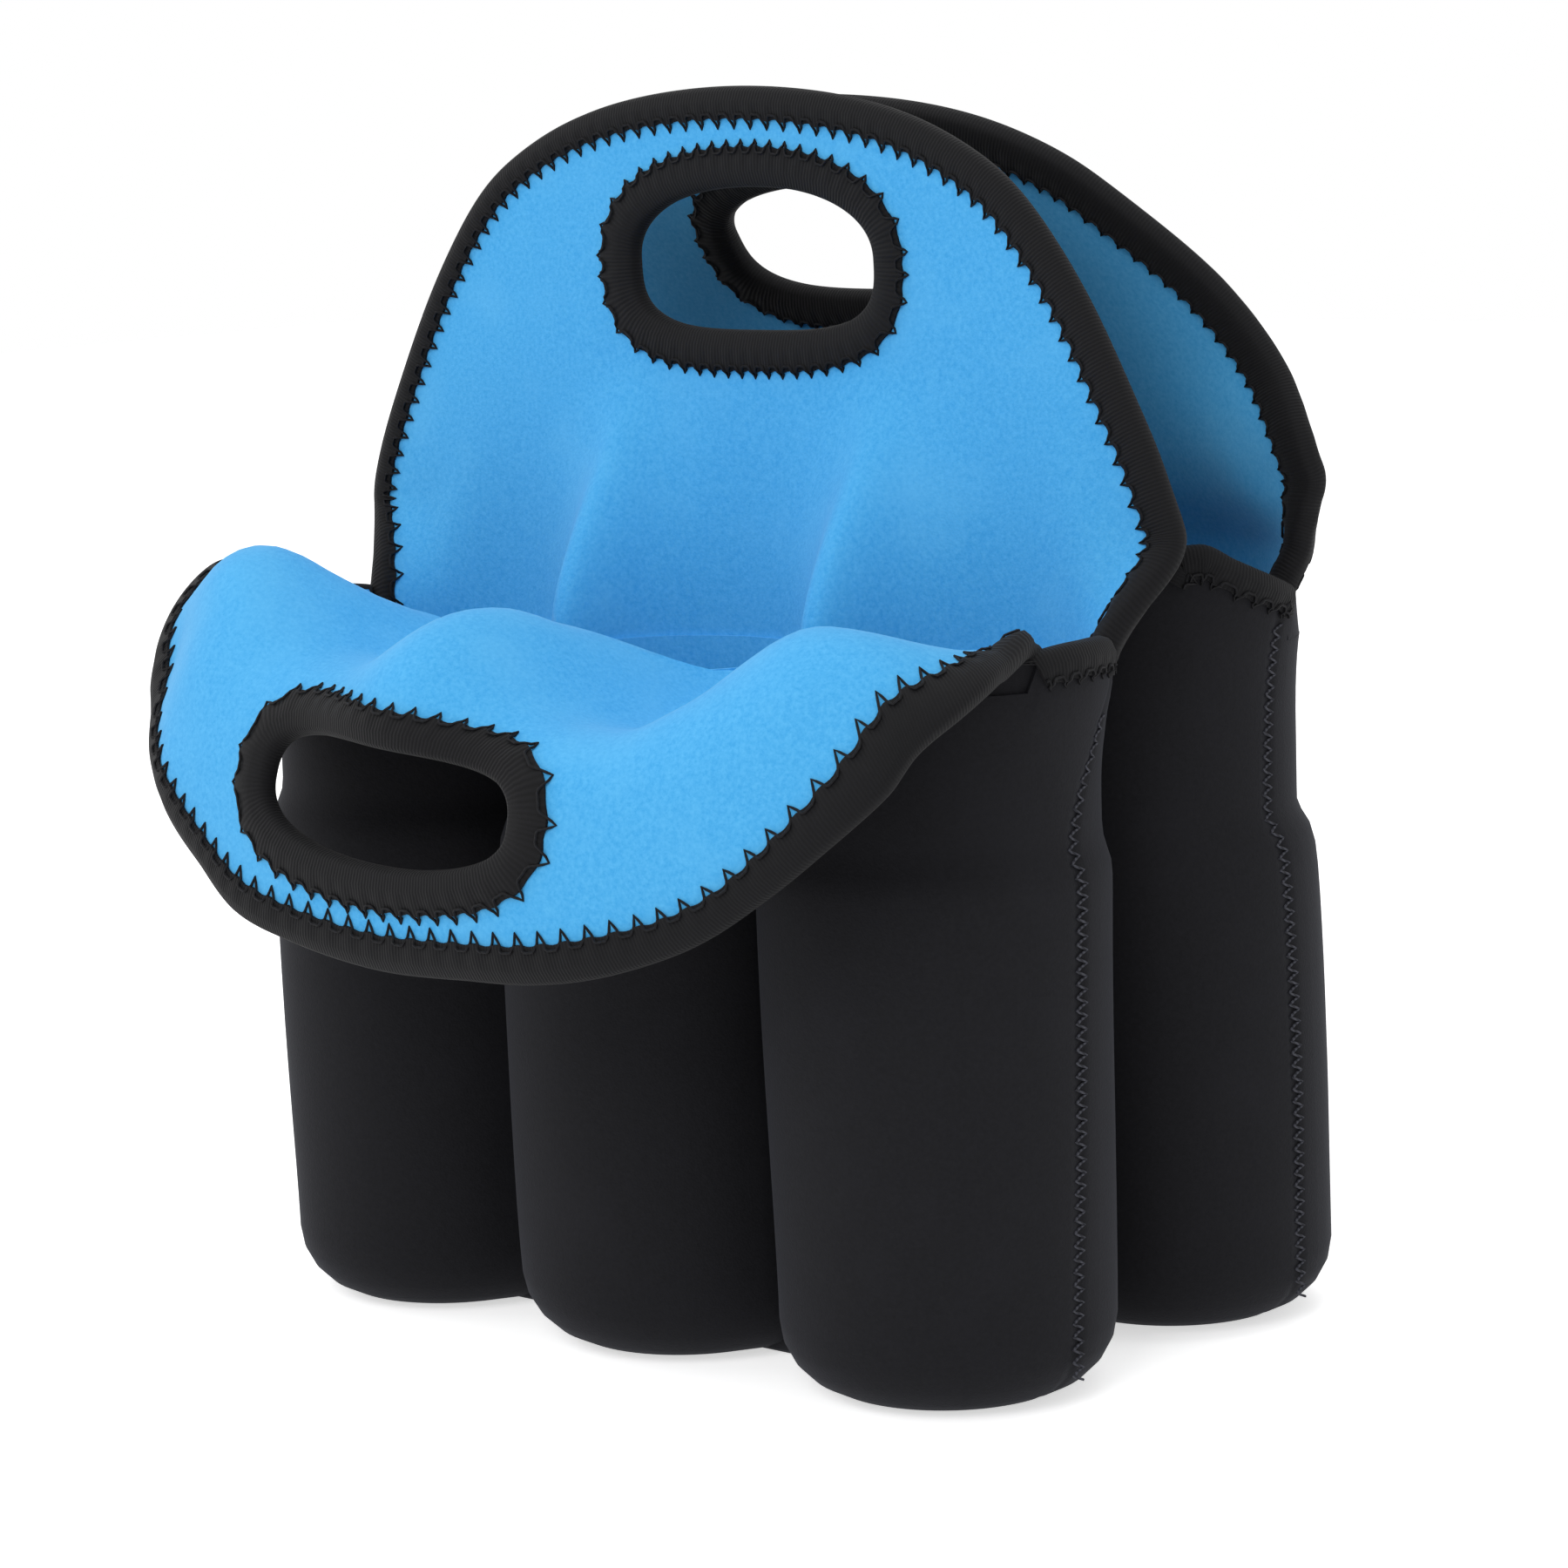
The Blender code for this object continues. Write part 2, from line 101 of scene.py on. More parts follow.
def graphThrough(points):   # a smooth graph through given pairs, without overshoot
    at, value = np.array(points, float).T
    step = np.diff(at)
    slope = np.diff(value) / step
    tangent = np.r_[slope[0], np.zeros(len(at) - 2), slope[-1]]
    same = slope[:-1] * slope[1:] > 0
    tangent[1:-1][same] = (2 * slope[:-1] * slope[1:])[same] / (slope[:-1] + slope[1:])[same]

    def graph(q):
        q = np.clip(q, at[0], at[-1])
        i = np.clip(np.searchsorted(at, q) - 1, 0, len(at) - 2)
        t = (q - at[i]) / step[i]
        return ((2 * t**3 - 3 * t**2 + 1) * value[i] + (t**3 - 2 * t**2 + t) * step[i] * tangent[i]
                + (3 * t**2 - 2 * t**3) * value[i + 1] + (t**3 - t**2) * step[i] * tangent[i + 1])
    return graph


def evenly(points, spacing, closed=False):   # the same line with its points evenly spaced
    p = np.vstack([points, points[:1]]) if closed else np.array(points, float)
    along = np.r_[0, np.cumsum(np.linalg.norm(np.diff(p, axis=0), axis=1))]
    count = max(2, round(along[-1] / spacing))
    at = np.linspace(0, along[-1], count + 1)[:count if closed else count + 1]
    return np.stack([np.interp(at, along, p[:, k]) for k in range(p.shape[1])], axis=1)


def curveThrough(points, spacing):   # evenly spaced points of a smooth curve through given ones
    p = np.array(points, float)
    at = np.r_[0, np.cumsum(np.linalg.norm(np.diff(p, axis=0), axis=1))]
    h, n = np.diff(at), len(p)
    system, right = np.eye(n), np.zeros_like(p)
    for i in range(1, n - 1):
        system[i, i - 1:i + 2] = h[i - 1], 2 * (h[i - 1] + h[i]), h[i]
        right[i] = 6 * ((p[i + 1] - p[i]) / h[i] - (p[i] - p[i - 1]) / h[i - 1])
    bend = np.linalg.solve(system, right)
    t = np.linspace(0, at[-1], 40 * n)
    i = np.clip(np.searchsorted(at, t) - 1, 0, n - 2)
    b = ((t - at[i]) / h[i])[:, None]
    a = 1 - b
    fine = a * p[i] + b * p[i + 1] + ((a**3 - a) * bend[i] + (b**3 - b) * bend[i + 1]) * h[i][:, None]**2 / 6
    return evenly(fine, spacing)


def sheetThrough(points):   # a smooth surface through given (across, along, x, y, z)
    p = np.array(points, float)
    source, unit = p[:, :2], 40.0

    def spread(a, b):
        r2 = ((a[:, None] - b[None]) ** 2).sum(-1) / unit**2
        return 0.5 * r2 * np.log(r2 + 1e-12)
    n = len(p)
    flat = np.c_[np.ones(n), source / unit]
    system = np.block([[spread(source, source) + 2e-4 * np.eye(n), flat], [flat.T, np.zeros((3, 3))]])
    weight = np.linalg.solve(system, np.vstack([p[:, 2:], np.zeros((3, 3))]))

    def sheet(q):
        return spread(q, source) @ weight[:n] + np.c_[np.ones(len(q)), q / unit] @ weight[n:]
    return sheet


def piece(name, points, faces, material, loops=None):   # a mesh object from points in mm
    mesh = bpy.data.meshes.new(name)
    mesh.from_pydata((np.array(points) * mm).tolist(), [], [tuple(int(i) for i in f) for f in faces])
    if loops is not None:   # UV in mm, one pair a face corner
        mesh.uv_layers.new(name="UVMap").data.foreach_set("uv", np.array(loops, np.float32).ravel())
    mesh.polygons.foreach_set("use_smooth", [True] * len(mesh.polygons))
    mesh.set_sharp_from_angle(angle=math.radians(52))
    mesh.materials.append(material)
    made = bpy.data.objects.new(name, mesh)
    bpy.context.collection.objects.link(made)
    return made


def join(parts):   # several (points, faces) as one
    points, faces, start = [], [], 0
    for p, f in parts:
        points.append(p)
        faces += [tuple(i + start for i in face) for face in f]
        start += len(p)
    return np.vstack(points), faces


def belong(made, body, node, slotName):   # rides a body and hides the CAD node it stands for
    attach(made, body)
    if node:
        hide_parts(node)


def linear(code):   # an sRGB hex value as linear colour
    channels = [int(code[i:i + 2], 16) / 255 for i in (1, 3, 5)]
    return [c / 12.92 if c <= 0.04045 else ((c + 0.055) / 1.055) ** 2.4 for c in channels] + [1]


def addNode(tree, kind, settings=None, links=None):   # settings: sockets or properties; links: socket to output
    node = tree.nodes.new(kind)
    for key, value in (settings or {}).items():
        if isinstance(key, str) and hasattr(node, key):
            setattr(node, key, value)
        else:
            node.inputs[key].default_value = value
    for key, output in (links or {}).items():
        tree.links.new(output, node.inputs[key])
    return node


def startMaterial(name):
    made = bpy.data.materials.new(name)
    made.use_nodes = True
    tree = made.node_tree
    tree.nodes.clear()
    return made, tree


def surface(tree, settings, colour, height, strength, depth):   # colour: a hex value or an output; relief depth in mm
    bump = addNode(tree, "ShaderNodeBump", {"Strength": strength, "Distance": depth * mm}, {"Height": height})
    fixed = {"Base Color": linear(colour)} if isinstance(colour, str) else {}
    links = {"Normal": bump.outputs[0]} | ({} if fixed else {"Base Color": colour})
    return addNode(tree, "ShaderNodeBsdfPrincipled", settings | fixed, links).outputs[0]


def endMaterial(tree, shader):
    addNode(tree, "ShaderNodeOutputMaterial", links={"Surface": shader})


# Foam neoprene with nylon jersey laminated on: a matt knit with a fine speckled grain, soft sheen at its edges
jersey = {
    "black": {"name": "black neoprene jersey", "dark": "#0b0b0f", "light": "#141418", "worn": "#1b1b20",
              "sheen": 0.14, "sheenColour": "#6d7283", "roughness": 0.88, "bump": 0.35},
    "blue": {"name": "blue neoprene jersey", "dark": "#3ea4e4", "light": "#58b7ef", "worn": "#69c0f2",
             "sheen": 0.25, "sheenColour": "#bfe4ff", "roughness": 0.85, "bump": 0.30},
    "rib": 0.55,       # mm, one knit rib; the real one is 0.35, drawn coarser to show
    "grain": 1.0,      # mm, the speckle of the yarn
    "cloud": 22.0,     # mm, slow shifts of tone
}


def makeJersey(look):
    made, tree = startMaterial(look["name"])
    place = addNode(tree, "ShaderNodeTexCoord").outputs["Object"]
    grain = addNode(tree, "ShaderNodeTexNoise",
                    {"Scale": 1 / (jersey["grain"] * mm), "Detail": 3.0, "Roughness": 0.7}, {"Vector": place})
    cloud = addNode(tree, "ShaderNodeTexNoise", {"Scale": 1 / (jersey["cloud"] * mm), "Detail": 2.0},
                    {"Vector": place})
    knit = addNode(tree, "ShaderNodeTexVoronoi", {"Scale": 1 / (jersey["rib"] * mm)}, {"Vector": place})
    tone = addNode(tree, "ShaderNodeMapRange", {"From Min": 0.30, "From Max": 0.70}, {"Value": grain.outputs["Fac"]})
    base = addNode(tree, "ShaderNodeMix", {"data_type": "RGBA", 6: linear(look["dark"]), 7: linear(look["light"])},
                   {0: tone.outputs[0]})
    worn = addNode(tree, "ShaderNodeMapRange", {"From Min": 0.50, "From Max": 0.80, "To Max": 0.35},
                   {"Value": cloud.outputs["Fac"]})
    colour = addNode(tree, "ShaderNodeMix", {"data_type": "RGBA", 7: linear(look["worn"])},
                     {0: worn.outputs[0], 6: base.outputs[2]})
    height = addNode(tree, "ShaderNodeMath", {"operation": "ADD"},
                     {0: knit.outputs["Distance"], 1: grain.outputs["Fac"]})
    cloth = {"Roughness": look["roughness"], "Sheen Weight": look["sheen"], "Sheen Roughness": 0.45,
             "Sheen Tint": linear(look["sheenColour"]), "Specular IOR Level": 0.25}
    endMaterial(tree, surface(tree, cloth, colour.outputs[2], height.outputs[0], look["bump"], 0.12))
    return made


# Polyester binding tape, woven: fine ribs across it that catch a soft satin light; painted light on the ribs' tops and
# painted shade in the valleys between them
tapeLook = {"name": "black polyester binding tape", "valley": "#050507", "rib": "#0d0d10", "ribWidth": 0.8,
            "roughness": 0.78, "sheen": 0.03, "bump": 0.5}


def makeTape(look):
    made, tree = startMaterial(look["name"])
    uv = addNode(tree, "ShaderNodeUVMap").outputs["UV"]   # in mm, along the tape and across it
    ribs = addNode(tree, "ShaderNodeTexWave", {"Scale": 2 * math.pi / look["ribWidth"] / 20, "Distortion": 0.6,
                                               "Detail": 1.0, "Detail Scale": 3.0, "bands_direction": "X"},
                   {"Vector": uv})
    fuzz = addNode(tree, "ShaderNodeTexNoise", {"Scale": 1.4, "Detail": 2.0}, {"Vector": uv})
    # painted shade and light: the valley colour in the grooves between the ribs, the rib colour on their tops,
    # following the bump's waves
    colour = addNode(tree, "ShaderNodeMix", {"data_type": "RGBA", 6: linear(look["valley"]), 7: linear(look["rib"])},
                     {0: ribs.outputs["Fac"]})
    height = addNode(tree, "ShaderNodeMath", {"operation": "MULTIPLY_ADD", 1: 0.35},
                     {0: fuzz.outputs["Fac"], 2: ribs.outputs["Fac"]})
    woven = {"Roughness": look["roughness"], "Sheen Weight": look["sheen"], "Specular IOR Level": 0.2}
    endMaterial(tree, surface(tree, woven, colour.outputs[2], height.outputs[0], look["bump"], 0.2))
    return made


# Spun polyester thread: two plies twisted, a little lighter and shinier than the jersey; the twist is drawn in dark
# and light bands, painted shade in the grooves between the plies and painted light on their tops
threadLook = {
    "edge": {"name": "black polyester thread", "dark": "#060608", "light": "#111115"},
    "seam": {"name": "charcoal polyester thread", "dark": "#25262c", "light": "#4a4b53"},
    "twist": 0.8,   # mm, one turn of the plies
}


def makeThread(look):
    made, tree = startMaterial(look["name"])
    place = addNode(tree, "ShaderNodeTexCoord").outputs["Object"]
    ply = addNode(tree, "ShaderNodeTexWave", {"Scale": 2 * math.pi / (threadLook["twist"] * mm) / 20,
                                              "bands_direction": "DIAGONAL"}, {"Vector": place})
    # painted shade and light: dark in the grooves of the twist, light on the plies, following the bump
    colour = addNode(tree, "ShaderNodeMix", {"data_type": "RGBA", 6: linear(look["dark"]), 7: linear(look["light"])},
                     {0: ply.outputs["Fac"]})
    spun = {"Roughness": 0.7, "Specular IOR Level": 0.2}
    endMaterial(tree, surface(tree, spun, colour.outputs[2], ply.outputs["Fac"], 0.5, 0.08))
    return made


blackJersey = makeJersey(jersey["black"])
blueJersey = makeJersey(jersey["blue"])
bindingTape = makeTape(tapeLook)
edgeThread = makeThread(threadLook["edge"])
seamThread = makeThread(threadLook["seam"])
print("materials made")


bank = {
    "pitch": 73.0, "outer": 35.0, "wallMiddle": 33.0, "liningOuter": 31.2, "liningInner": 30.4,
    "grooveAngle": 28.6, "grooveStart": 9.6, "height": 150.0, "bottomRound": 15.0, "plan": 36.38,
    "flare": 36.4, "endArc": 35.3,    # the wall's middle at the ends of a bank, at the mouth
    "seamGroove": 0.45, "seat": 0.15, "floor": 4.0, "innerLow": 16.0,   # the foam's butt seam, gap and floor
    "liningCorner": 31.9,             # degrees, where the lining's corner begins
}
pressed = {"at": 32.5, "run": 16.0}   # where the folded flap presses the front wall down, in its right crease
rearMiddle = sum(corner[1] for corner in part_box("rear_left_mouth_lining")) / 2 / mm   # at the mouths
frontBank = {
    "name": "front", "middle": 0.0, "shift": graphThrough([(0, 0), (150, 0)]),
    "side": graphThrough([(0, 35.5), (20, 35.7), (60, 37), (90, 37.8), (109, 38.2), (118, 35.3), (128, 35.2),
                          (140, 37), (150, 39.5), (180, 39.5)]),
    "front": graphThrough([(0, 35.2), (60, 36.3), (90, 36.8), (109, 37), (118, 34.8), (130, 34.8), (150, 35)]),
    "back": graphThrough([(0, 35.2), (109, 35.2), (118, 34.6), (150, 35)]),
    "middleExtra": 1.4,
    "rim": graphThrough([(-60, 150), (-19.5, 150), (-18, 156.3), (-13.6, 157.2), (0, 157.9), (12, 157.8),
                         (23.5, 157), (25.5, 150), (60, 150)]),
    "rimEnds": (-17.8, 23.0), "legs": (6.0, 6.0), "dip": 10.0,
}
rearBank = {
    "name": "rear", "middle": rearMiddle,
    "shift": graphThrough([(0, 8), (32, 6.5), (72, 4), (104, 1), (114, 0), (150, 0)]),
    "side": graphThrough([(0, 35.5), (20, 36), (58, 37.5), (96, 38), (106, 37.6), (114, 34.3), (132, 34.4),
                          (145, 35.2), (155, 36.8), (165, 38.5), (180, 38.5)]),
    "front": graphThrough([(0, 35.0), (150, 35)]),
    "back": graphThrough([(0, 35), (20, 35.6), (58, 37), (77, 37.5), (96, 37.6), (105, 37.2), (114, 34.2),
                          (140, 34.4), (150, 35)]),
    "middleExtra": 0.0,
    "rim": graphThrough([(-62, 150), (-48, 162), (-38, 171.5), (-30, 171.8), (-17, 168), (-3, 164.3), (7, 162),
                         (11, 161), (12.8, 150), (60, 150)]),
    "rimEnds": (-44.0, 11.8), "legs": (6.5, 5.0), "dip": 0.0,
}


def lobeAngles(first, last, seam=None):   # degrees; close at the grooves and beside a seam
    ends = np.array([0, 3.4, 8.4, 13.4, 19.0])
    angles = list(first + ends) + list(last - ends)
    angles += list(np.arange(first + 24, last - 21, 5.0))
    if seam is not None:
        close = [-33.0, -31.6, -29.6, 0.8, 5, 3.4, 1.7, 0, -1.7, -3.4, -5, 11.2, 12.6]
        close = [c if seam > 180 else -c for c in close]
        angles = [a for a in angles if min(abs(a - seam - c) for c in close) > 1.5] + [seam + c for c in close]
    return np.sort(np.array(angles))


start = bank["grooveStart"]
lobes = [   # centre, angles; counter-clockwise from the right front groove
    (bank["pitch"], lobeAngles(180 + start, 540 - start, 360)),
    (0.0, lobeAngles(start, 180 - start)),
    (-bank["pitch"], lobeAngles(start, 360 - start, 180)),
    (0.0, lobeAngles(180 + start, 360 - start)),
]


def lobeRadius(b, centre, degrees, z):   # the outer face from a lobe's centre
    c, s = cosOf(degrees), sinOf(degrees)
    extra = b["middleExtra"] * ease(1.5 - np.abs(z - 60) / 60) if centre == 0 else 0
    wall = np.where(s < 0, b["front"](z) + extra, b["back"](z))
    if centre != 0:
        side = np.where(c * centre > 0, b["side"](z), wall)
        wall = 1 / np.sqrt((c / side) ** 2 + (s / wall) ** 2)
    return wall


def dividerAngle(centre, degrees):   # degrees from the nearest divider
    d = np.mod(degrees, 360)
    right, left = np.minimum(d, 360 - d), np.abs(d - 180)
    return left if centre > 0 else right if centre < 0 else np.minimum(right, left)


def seamAngle(b, z):   # how far the side seam has crept round, in degrees
    return graphThrough([(0, -2.5), (50, -0.5), (112, 1), (122, 5), (137, 17), (150, 25)])(z) \
        if b["name"] == "front" else graphThrough([(0, -1), (110, 0), (165, 4)])(z)


def rimDip(x):
    return np.exp(-((x - pressed["at"]) / pressed["run"]) ** 2)


def withinPlan(x, centre, limit):   # a pocket stops at the dividers it shares
    if centre == 0:
        return np.clip(x, -limit, limit)
    return np.maximum(x, -limit) if centre > 0 else np.minimum(x, limit)


def rings(b, inset, rows, groove, inner=False):   # points of every ring, row by row, and each lobe's span
    out = []
    spans, first = [], 0
    for centre, angles in lobes:
        spans.append((first, first + len(angles)))
        first += len(angles)
    for fraction, shrink in rows:
        ring = []
        for centre, angles in lobes:
            sideTurn = np.degrees(np.arcsin(sinOf(angles))) if centre else angles
            outward = cosOf(angles) * np.sign(centre) if centre else np.full(len(angles), -1.0)
            topTurn = sideTurn + seamAngle(b, bank["height"]) * np.maximum(outward, 0) ** 2
            rim = np.where(outward > 0, b["rim"](topTurn), bank["height"])
            wallX, wallY = (bank["wallMiddle"] * way(angles) for way in (cosOf, sinOf))
            rim = rim - b["dip"] * rimDip(centre + wallX) * ease((-wallY - 4) / 10)
            z = bank["height"] * fraction + (rim - bank["height"]) * fraction * ease((fraction - 0.8) * 5)
            alpha = dividerAngle(centre, angles)
            if inner:   # the lining's corner reaches the divider itself
                low, high, corner = bank["grooveStart"], bank["grooveAngle"], bank["liningCorner"]
                cornered = np.where(alpha < high, (alpha - low) / (high - low) * corner,
                                    corner + (alpha - high) * (60 - corner) / (60 - high))
                shift = np.where(alpha < 60, cornered - alpha, 0)
                near = np.mod(angles, 360)
                toward = np.where(centre > 0, 180, 0 if centre < 0 else np.where(np.abs(near - 180) < 90, 180, 0))
                delta = np.mod(angles - toward + 180, 360) - 180
                turned = angles + np.sign(delta) * shift
                alpha = np.abs(np.mod(turned - toward + 180, 360) - 180)
                alpha = np.where(shift == 0, dividerAngle(centre, angles), alpha)
            else:
                turned, corner = angles, bank["grooveAngle"]
            creep = seamAngle(b, z) * np.maximum(outward, 0) ** 2
            if centre:
                turned = turned + creep * np.sign(centre)
            radius = lobeRadius(b, centre, turned, z) - inset
            radius = radius / cosOf(np.maximum(0, corner - alpha))
            if not inner and groove and centre:   # the butt seam lies in a shallow groove
                off = np.abs(angles - (360 if centre > 0 else 180))
                radius = radius - groove * (1 - ease(off / 4.5))
            radius = radius * (1 - shrink / bank["outer"])
            x = withinPlan(radius * cosOf(turned), centre, bank["plan"] + (0.1 if inner else 0))
            ring.append(np.stack([centre + x, radius * sinOf(turned) + b["middle"] + b["shift"](z), z], axis=1))
        out.append(np.vstack(ring))
    return np.array(out), spans


def betweenRings(a, b, count, flip=False):   # the faces from one ring of points to the next
    quads = [(a + i, a + (i + 1) % count, b + (i + 1) % count, b + i) for i in range(count)]
    return [q[::-1] for q in quads] if flip else quads


def loftFaces(rows, count, first=0, flip=False):
    return [q for r in range(rows - 1) for q in betweenRings(first + r * count, first + (r + 1) * count, count, flip)]


def floorFaces(spans, first, centres, flip=False):   # closes a bank's bottom: a fan a lobe and webs between
    (a0, a1), (b0, b1), (c0, c1), (d0, d1) = [(first + s, first + e - 1) for s, e in spans]
    right, middle, left = centres
    faces = [(right, i + 1, i) for i in range(a0, a1)] + [(left, i + 1, i) for i in range(c0, c1)]
    faces += [(middle, i + 1, i) for i in list(range(b0, b1)) + list(range(d0, d1))]
    faces += [(right, a0, a1), (middle, b0, d1), (middle, d0, b1), (left, c0, c1)]
    faces += [(a0, d1, b0, a1), (d0, c1, c0, b1)]
    return [f[::-1] for f in faces] if flip else faces


def undulate(p, amount=0.45):   # the slow unevenness of sewn foam
    x, y, z = p.T
    wave = (np.sin(x / 17 + z / 31 + 1.3) + np.sin(y / 13 - z / 23) + np.sin(z / 19 + x / 29 + y / 37 + 2.1)) / 3
    return wave * amount * ease(z / 20) * ease((148 - z) / 20)


bottomRows = [(0, bank["bottomRound"])] + [
    (bank["bottomRound"] * (1 - math.cos(t)) / bank["height"], bank["bottomRound"] * (1 - math.sin(t)))
    for t in np.radians([18, 36, 54, 72, 90])]
wallRows = bottomRows + [(z / bank["height"], 0) for z in
                         (22, 30, 38, 46, 54, 62, 70, 78, 86, 93, 99, 104, 108, 111, 113.5, 116, 119, 123, 128,
                          133, 138, 142, 145, 148, 150)]


def makeBankShell(b):
    outer, spans = rings(b, 0.0, wallRows, bank["seamGroove"])
    low = bank["floor"]
    innerRows = [(low / bank["height"], low)] + [r for r in wallRows if r[0] * bank["height"] > bank["innerLow"]]
    inner = rings(b, bank["outer"] - bank["liningOuter"] - bank["seat"], innerRows, 0, inner=True)[0]
    count = outer.shape[1]
    skin = outer.reshape(-1, 3)
    centres = np.array([bank["pitch"], 0, -bank["pitch"]])
    nearest = centres[np.argmin(np.abs(skin[:, :1] - centres), axis=1)]
    outward = np.c_[skin[:, 0] - nearest, skin[:, 1] - b["middle"] - b["shift"](skin[:, 2])]
    outward /= np.linalg.norm(outward, axis=1)[:, None]
    skin[:, :2] += outward * undulate(skin)[:, None]
    points = np.vstack([skin, inner.reshape(-1, 3)])
    innerStart = len(skin)
    rowsOut, rowsIn = len(outer), len(inner)
    faces = loftFaces(rowsOut, count) + loftFaces(rowsIn, count, innerStart, flip=True)
    faces += betweenRings((rowsOut - 1) * count, innerStart + (rowsIn - 1) * count, count)
    y = b["middle"] + float(b["shift"](0.0))
    extra = len(points)
    points = np.vstack([points] + [[[c, y, z] for c in centres] for z in (0, low)])
    faces += floorFaces(spans, 0, range(extra, extra + 3))
    faces += floorFaces(spans, innerStart, range(extra + 3, extra + 6), flip=True)
    made = piece(f"{b['name']}BankFoam", points, faces, blackJersey)
    belong(made, f"{b['name']}_bank", f"{b['name']}_bank_shell", "neoprene")


def makeLining(b, side, centre):   # one pocket's blue lining, a closed thin cup
    wanted = centre * bank["pitch"]
    angles = np.r_[0:360:6.0] + 3
    rows = [(4.2, 12), (4.8, 5), (8, 1.5), (14, 0)] + [(z, 0) for z in np.linspace(22, 150, 22)]
    layers = []
    for radiusHere, raised in ((bank["liningOuter"], 0.0), (bank["liningInner"], 0.7)):
        grid = []
        for z0, shrink in rows:
            rim = np.where(cosOf(angles) * centre > 0, b["rim"](np.degrees(np.arcsin(sinOf(angles)))), bank["height"])
            fraction = z0 / bank["height"]
            z = fraction * (bank["height"] + (rim - bank["height"]) * ease((fraction - 0.5) * 2))
            alpha = dividerAngle(wanted, angles)
            radius = lobeRadius(b, wanted, angles, z) - (bank["outer"] - radiusHere) - shrink
            radius = radius / cosOf(np.maximum(0, bank["liningCorner"] - alpha))
            x = withinPlan(radius * cosOf(angles), centre, bank["plan"] - (0.6 if raised else 0))
            y = radius * sinOf(angles) + b["middle"] + b["shift"](z)
            grid.append(np.stack([wanted + x, y, z + raised * (z0 < 5)], axis=1))
        layers.append(np.vstack(grid))
    count, total = len(angles), len(layers[0])
    points = np.vstack(layers + [[[wanted, b["middle"] + float(b["shift"](0.0)), z]] for z in (4.2, 4.9)])
    faces = loftFaces(len(rows), count) + loftFaces(len(rows), count, total, flip=True)
    faces += betweenRings(total - count, 2 * total - count, count)
    for i in range(count):
        j = (i + 1) % count
        faces += [(2 * total, j, i), (2 * total + 1, total + i, total + j)]
    made = piece(f"{b['name']}{side.capitalize()}PocketLining", points, faces, blueJersey)
    belong(made, f"{b['name']}_bank", f"{b['name']}_{side}_pocket_lining", "lining")


for b in (frontBank, rearBank):
    makeBankShell(b)
    for side, centre in (("left", -1), ("middle", 0), ("right", 1)):
        makeLining(b, side, centre)
print("banks made")


# The flaps as smooth surfaces: (across, along from the mouth) in mm to a place, the blue side along the normal

flap = {"foam": 2.0, "lining": 1.25, "grid": 3.2, "border": 2.4, "crease": 1.8, "creaseTop": 46.0, "creaseSide": 5.6}
crown = [   # half width, distance from the free end
    (117.3, 96), (115, 85.5), (111.3, 76.5), (106, 66), (99.5, 54), (93.5, 44), (86.5, 34), (79.5, 25.5),
    (72.5, 19), (63.5, 13.3), (52.5, 8.2), (40, 4.3), (28, 2), (14, 0.5), (0, 0)]


def wallPlan(across):   # the middle of a bank's wall at the mouth: over the lobes and round the ends
    x = np.abs(across)
    r, p = bank["wallMiddle"], bank["pitch"]
    d = p / 2 - np.sqrt((x - p / 2) ** 2 + flap["crease"] ** 2)
    d = np.where(x > p / 2, -d, d)
    lobed = np.sqrt(r**2 - np.minimum(np.abs(d), 29.0) ** 2) - np.maximum(np.abs(d) - 29, 0) * 1.83
    turn = np.maximum(x - p, 0) / bank["endArc"]
    out = np.where(x > p, p + bank["flare"] * np.sin(turn), x) * np.sign(across)
    return out, np.where(x > p, r * np.cos(turn), lobed)


def leaveWall(x, s, hold=0.0, dividerRun=62.0, sideRun=28.0):   # 0 on the lobed wall, 1 on the sheet above it
    end = ease((np.abs(x) - 78) / 26)
    return ease((s - hold * end) / (sideRun * end + dividerRun * (1 - end)))


def middleSurface(q):
    x, s = q.T
    w = leaveWall(x, s)
    wallX, wallY = wallPlan(x)
    y = wallY * (1 - w) + bank["wallMiddle"] * w
    y = y + 1.1 * np.sin(x / 34 + 0.8) * np.sin(s / 38) * w - 1.5 * ease((s - 70) / 60)
    return np.stack([wallX * (1 - w) + x * w, y, bank["height"] + s], axis=1)


rearLean = {"degrees": 32.5, "run": 62.0, "flush": 2.2}   # the rear flap's lean, and how far its root is drawn in
leanAlong = np.linspace(0, 160, 801)
leanTurn = np.radians(rearLean["degrees"]) * ease(leanAlong / rearLean["run"])
leanForward, leanRise = (np.r_[0, np.cumsum(way(leanTurn[:-1]) * np.diff(leanAlong))] for way in (np.sin, np.cos))
endsForward = graphThrough([   # the rear flap's ends wrap forwards
    (0, 0), (11, 1.8), (18, 4.8), (25, 12.6), (32, 19.3), (39, 21.2), (46, 19.5), (53, 16.1),
    (60, 12.2), (68, 9), (76, 7), (84, 6), (100, 6), (160, 6)])


def rearSurface(q):
    x, s = q.T
    w = leaveWall(x, s, 10.0)
    wallX, wallY = wallPlan(x)
    drawnIn = rearLean["flush"] * ease((np.abs(x) - 76) / 30) * (1 - ease((s - 6) / 14))   # flush with the wall
    wallX = wallX - np.sign(x) * drawnIn
    wrap = (np.abs(x) / 115) ** 2.2 * endsForward(s)
    y = rearMiddle + wallY * (1 - w) + bank["wallMiddle"] * w - np.interp(s, leanAlong, leanForward) - wrap
    z = bank["height"] + np.interp(s, leanAlong, leanRise) + 0 * x
    return np.stack([wallX * (1 - w) + x * w, y, z], axis=1)


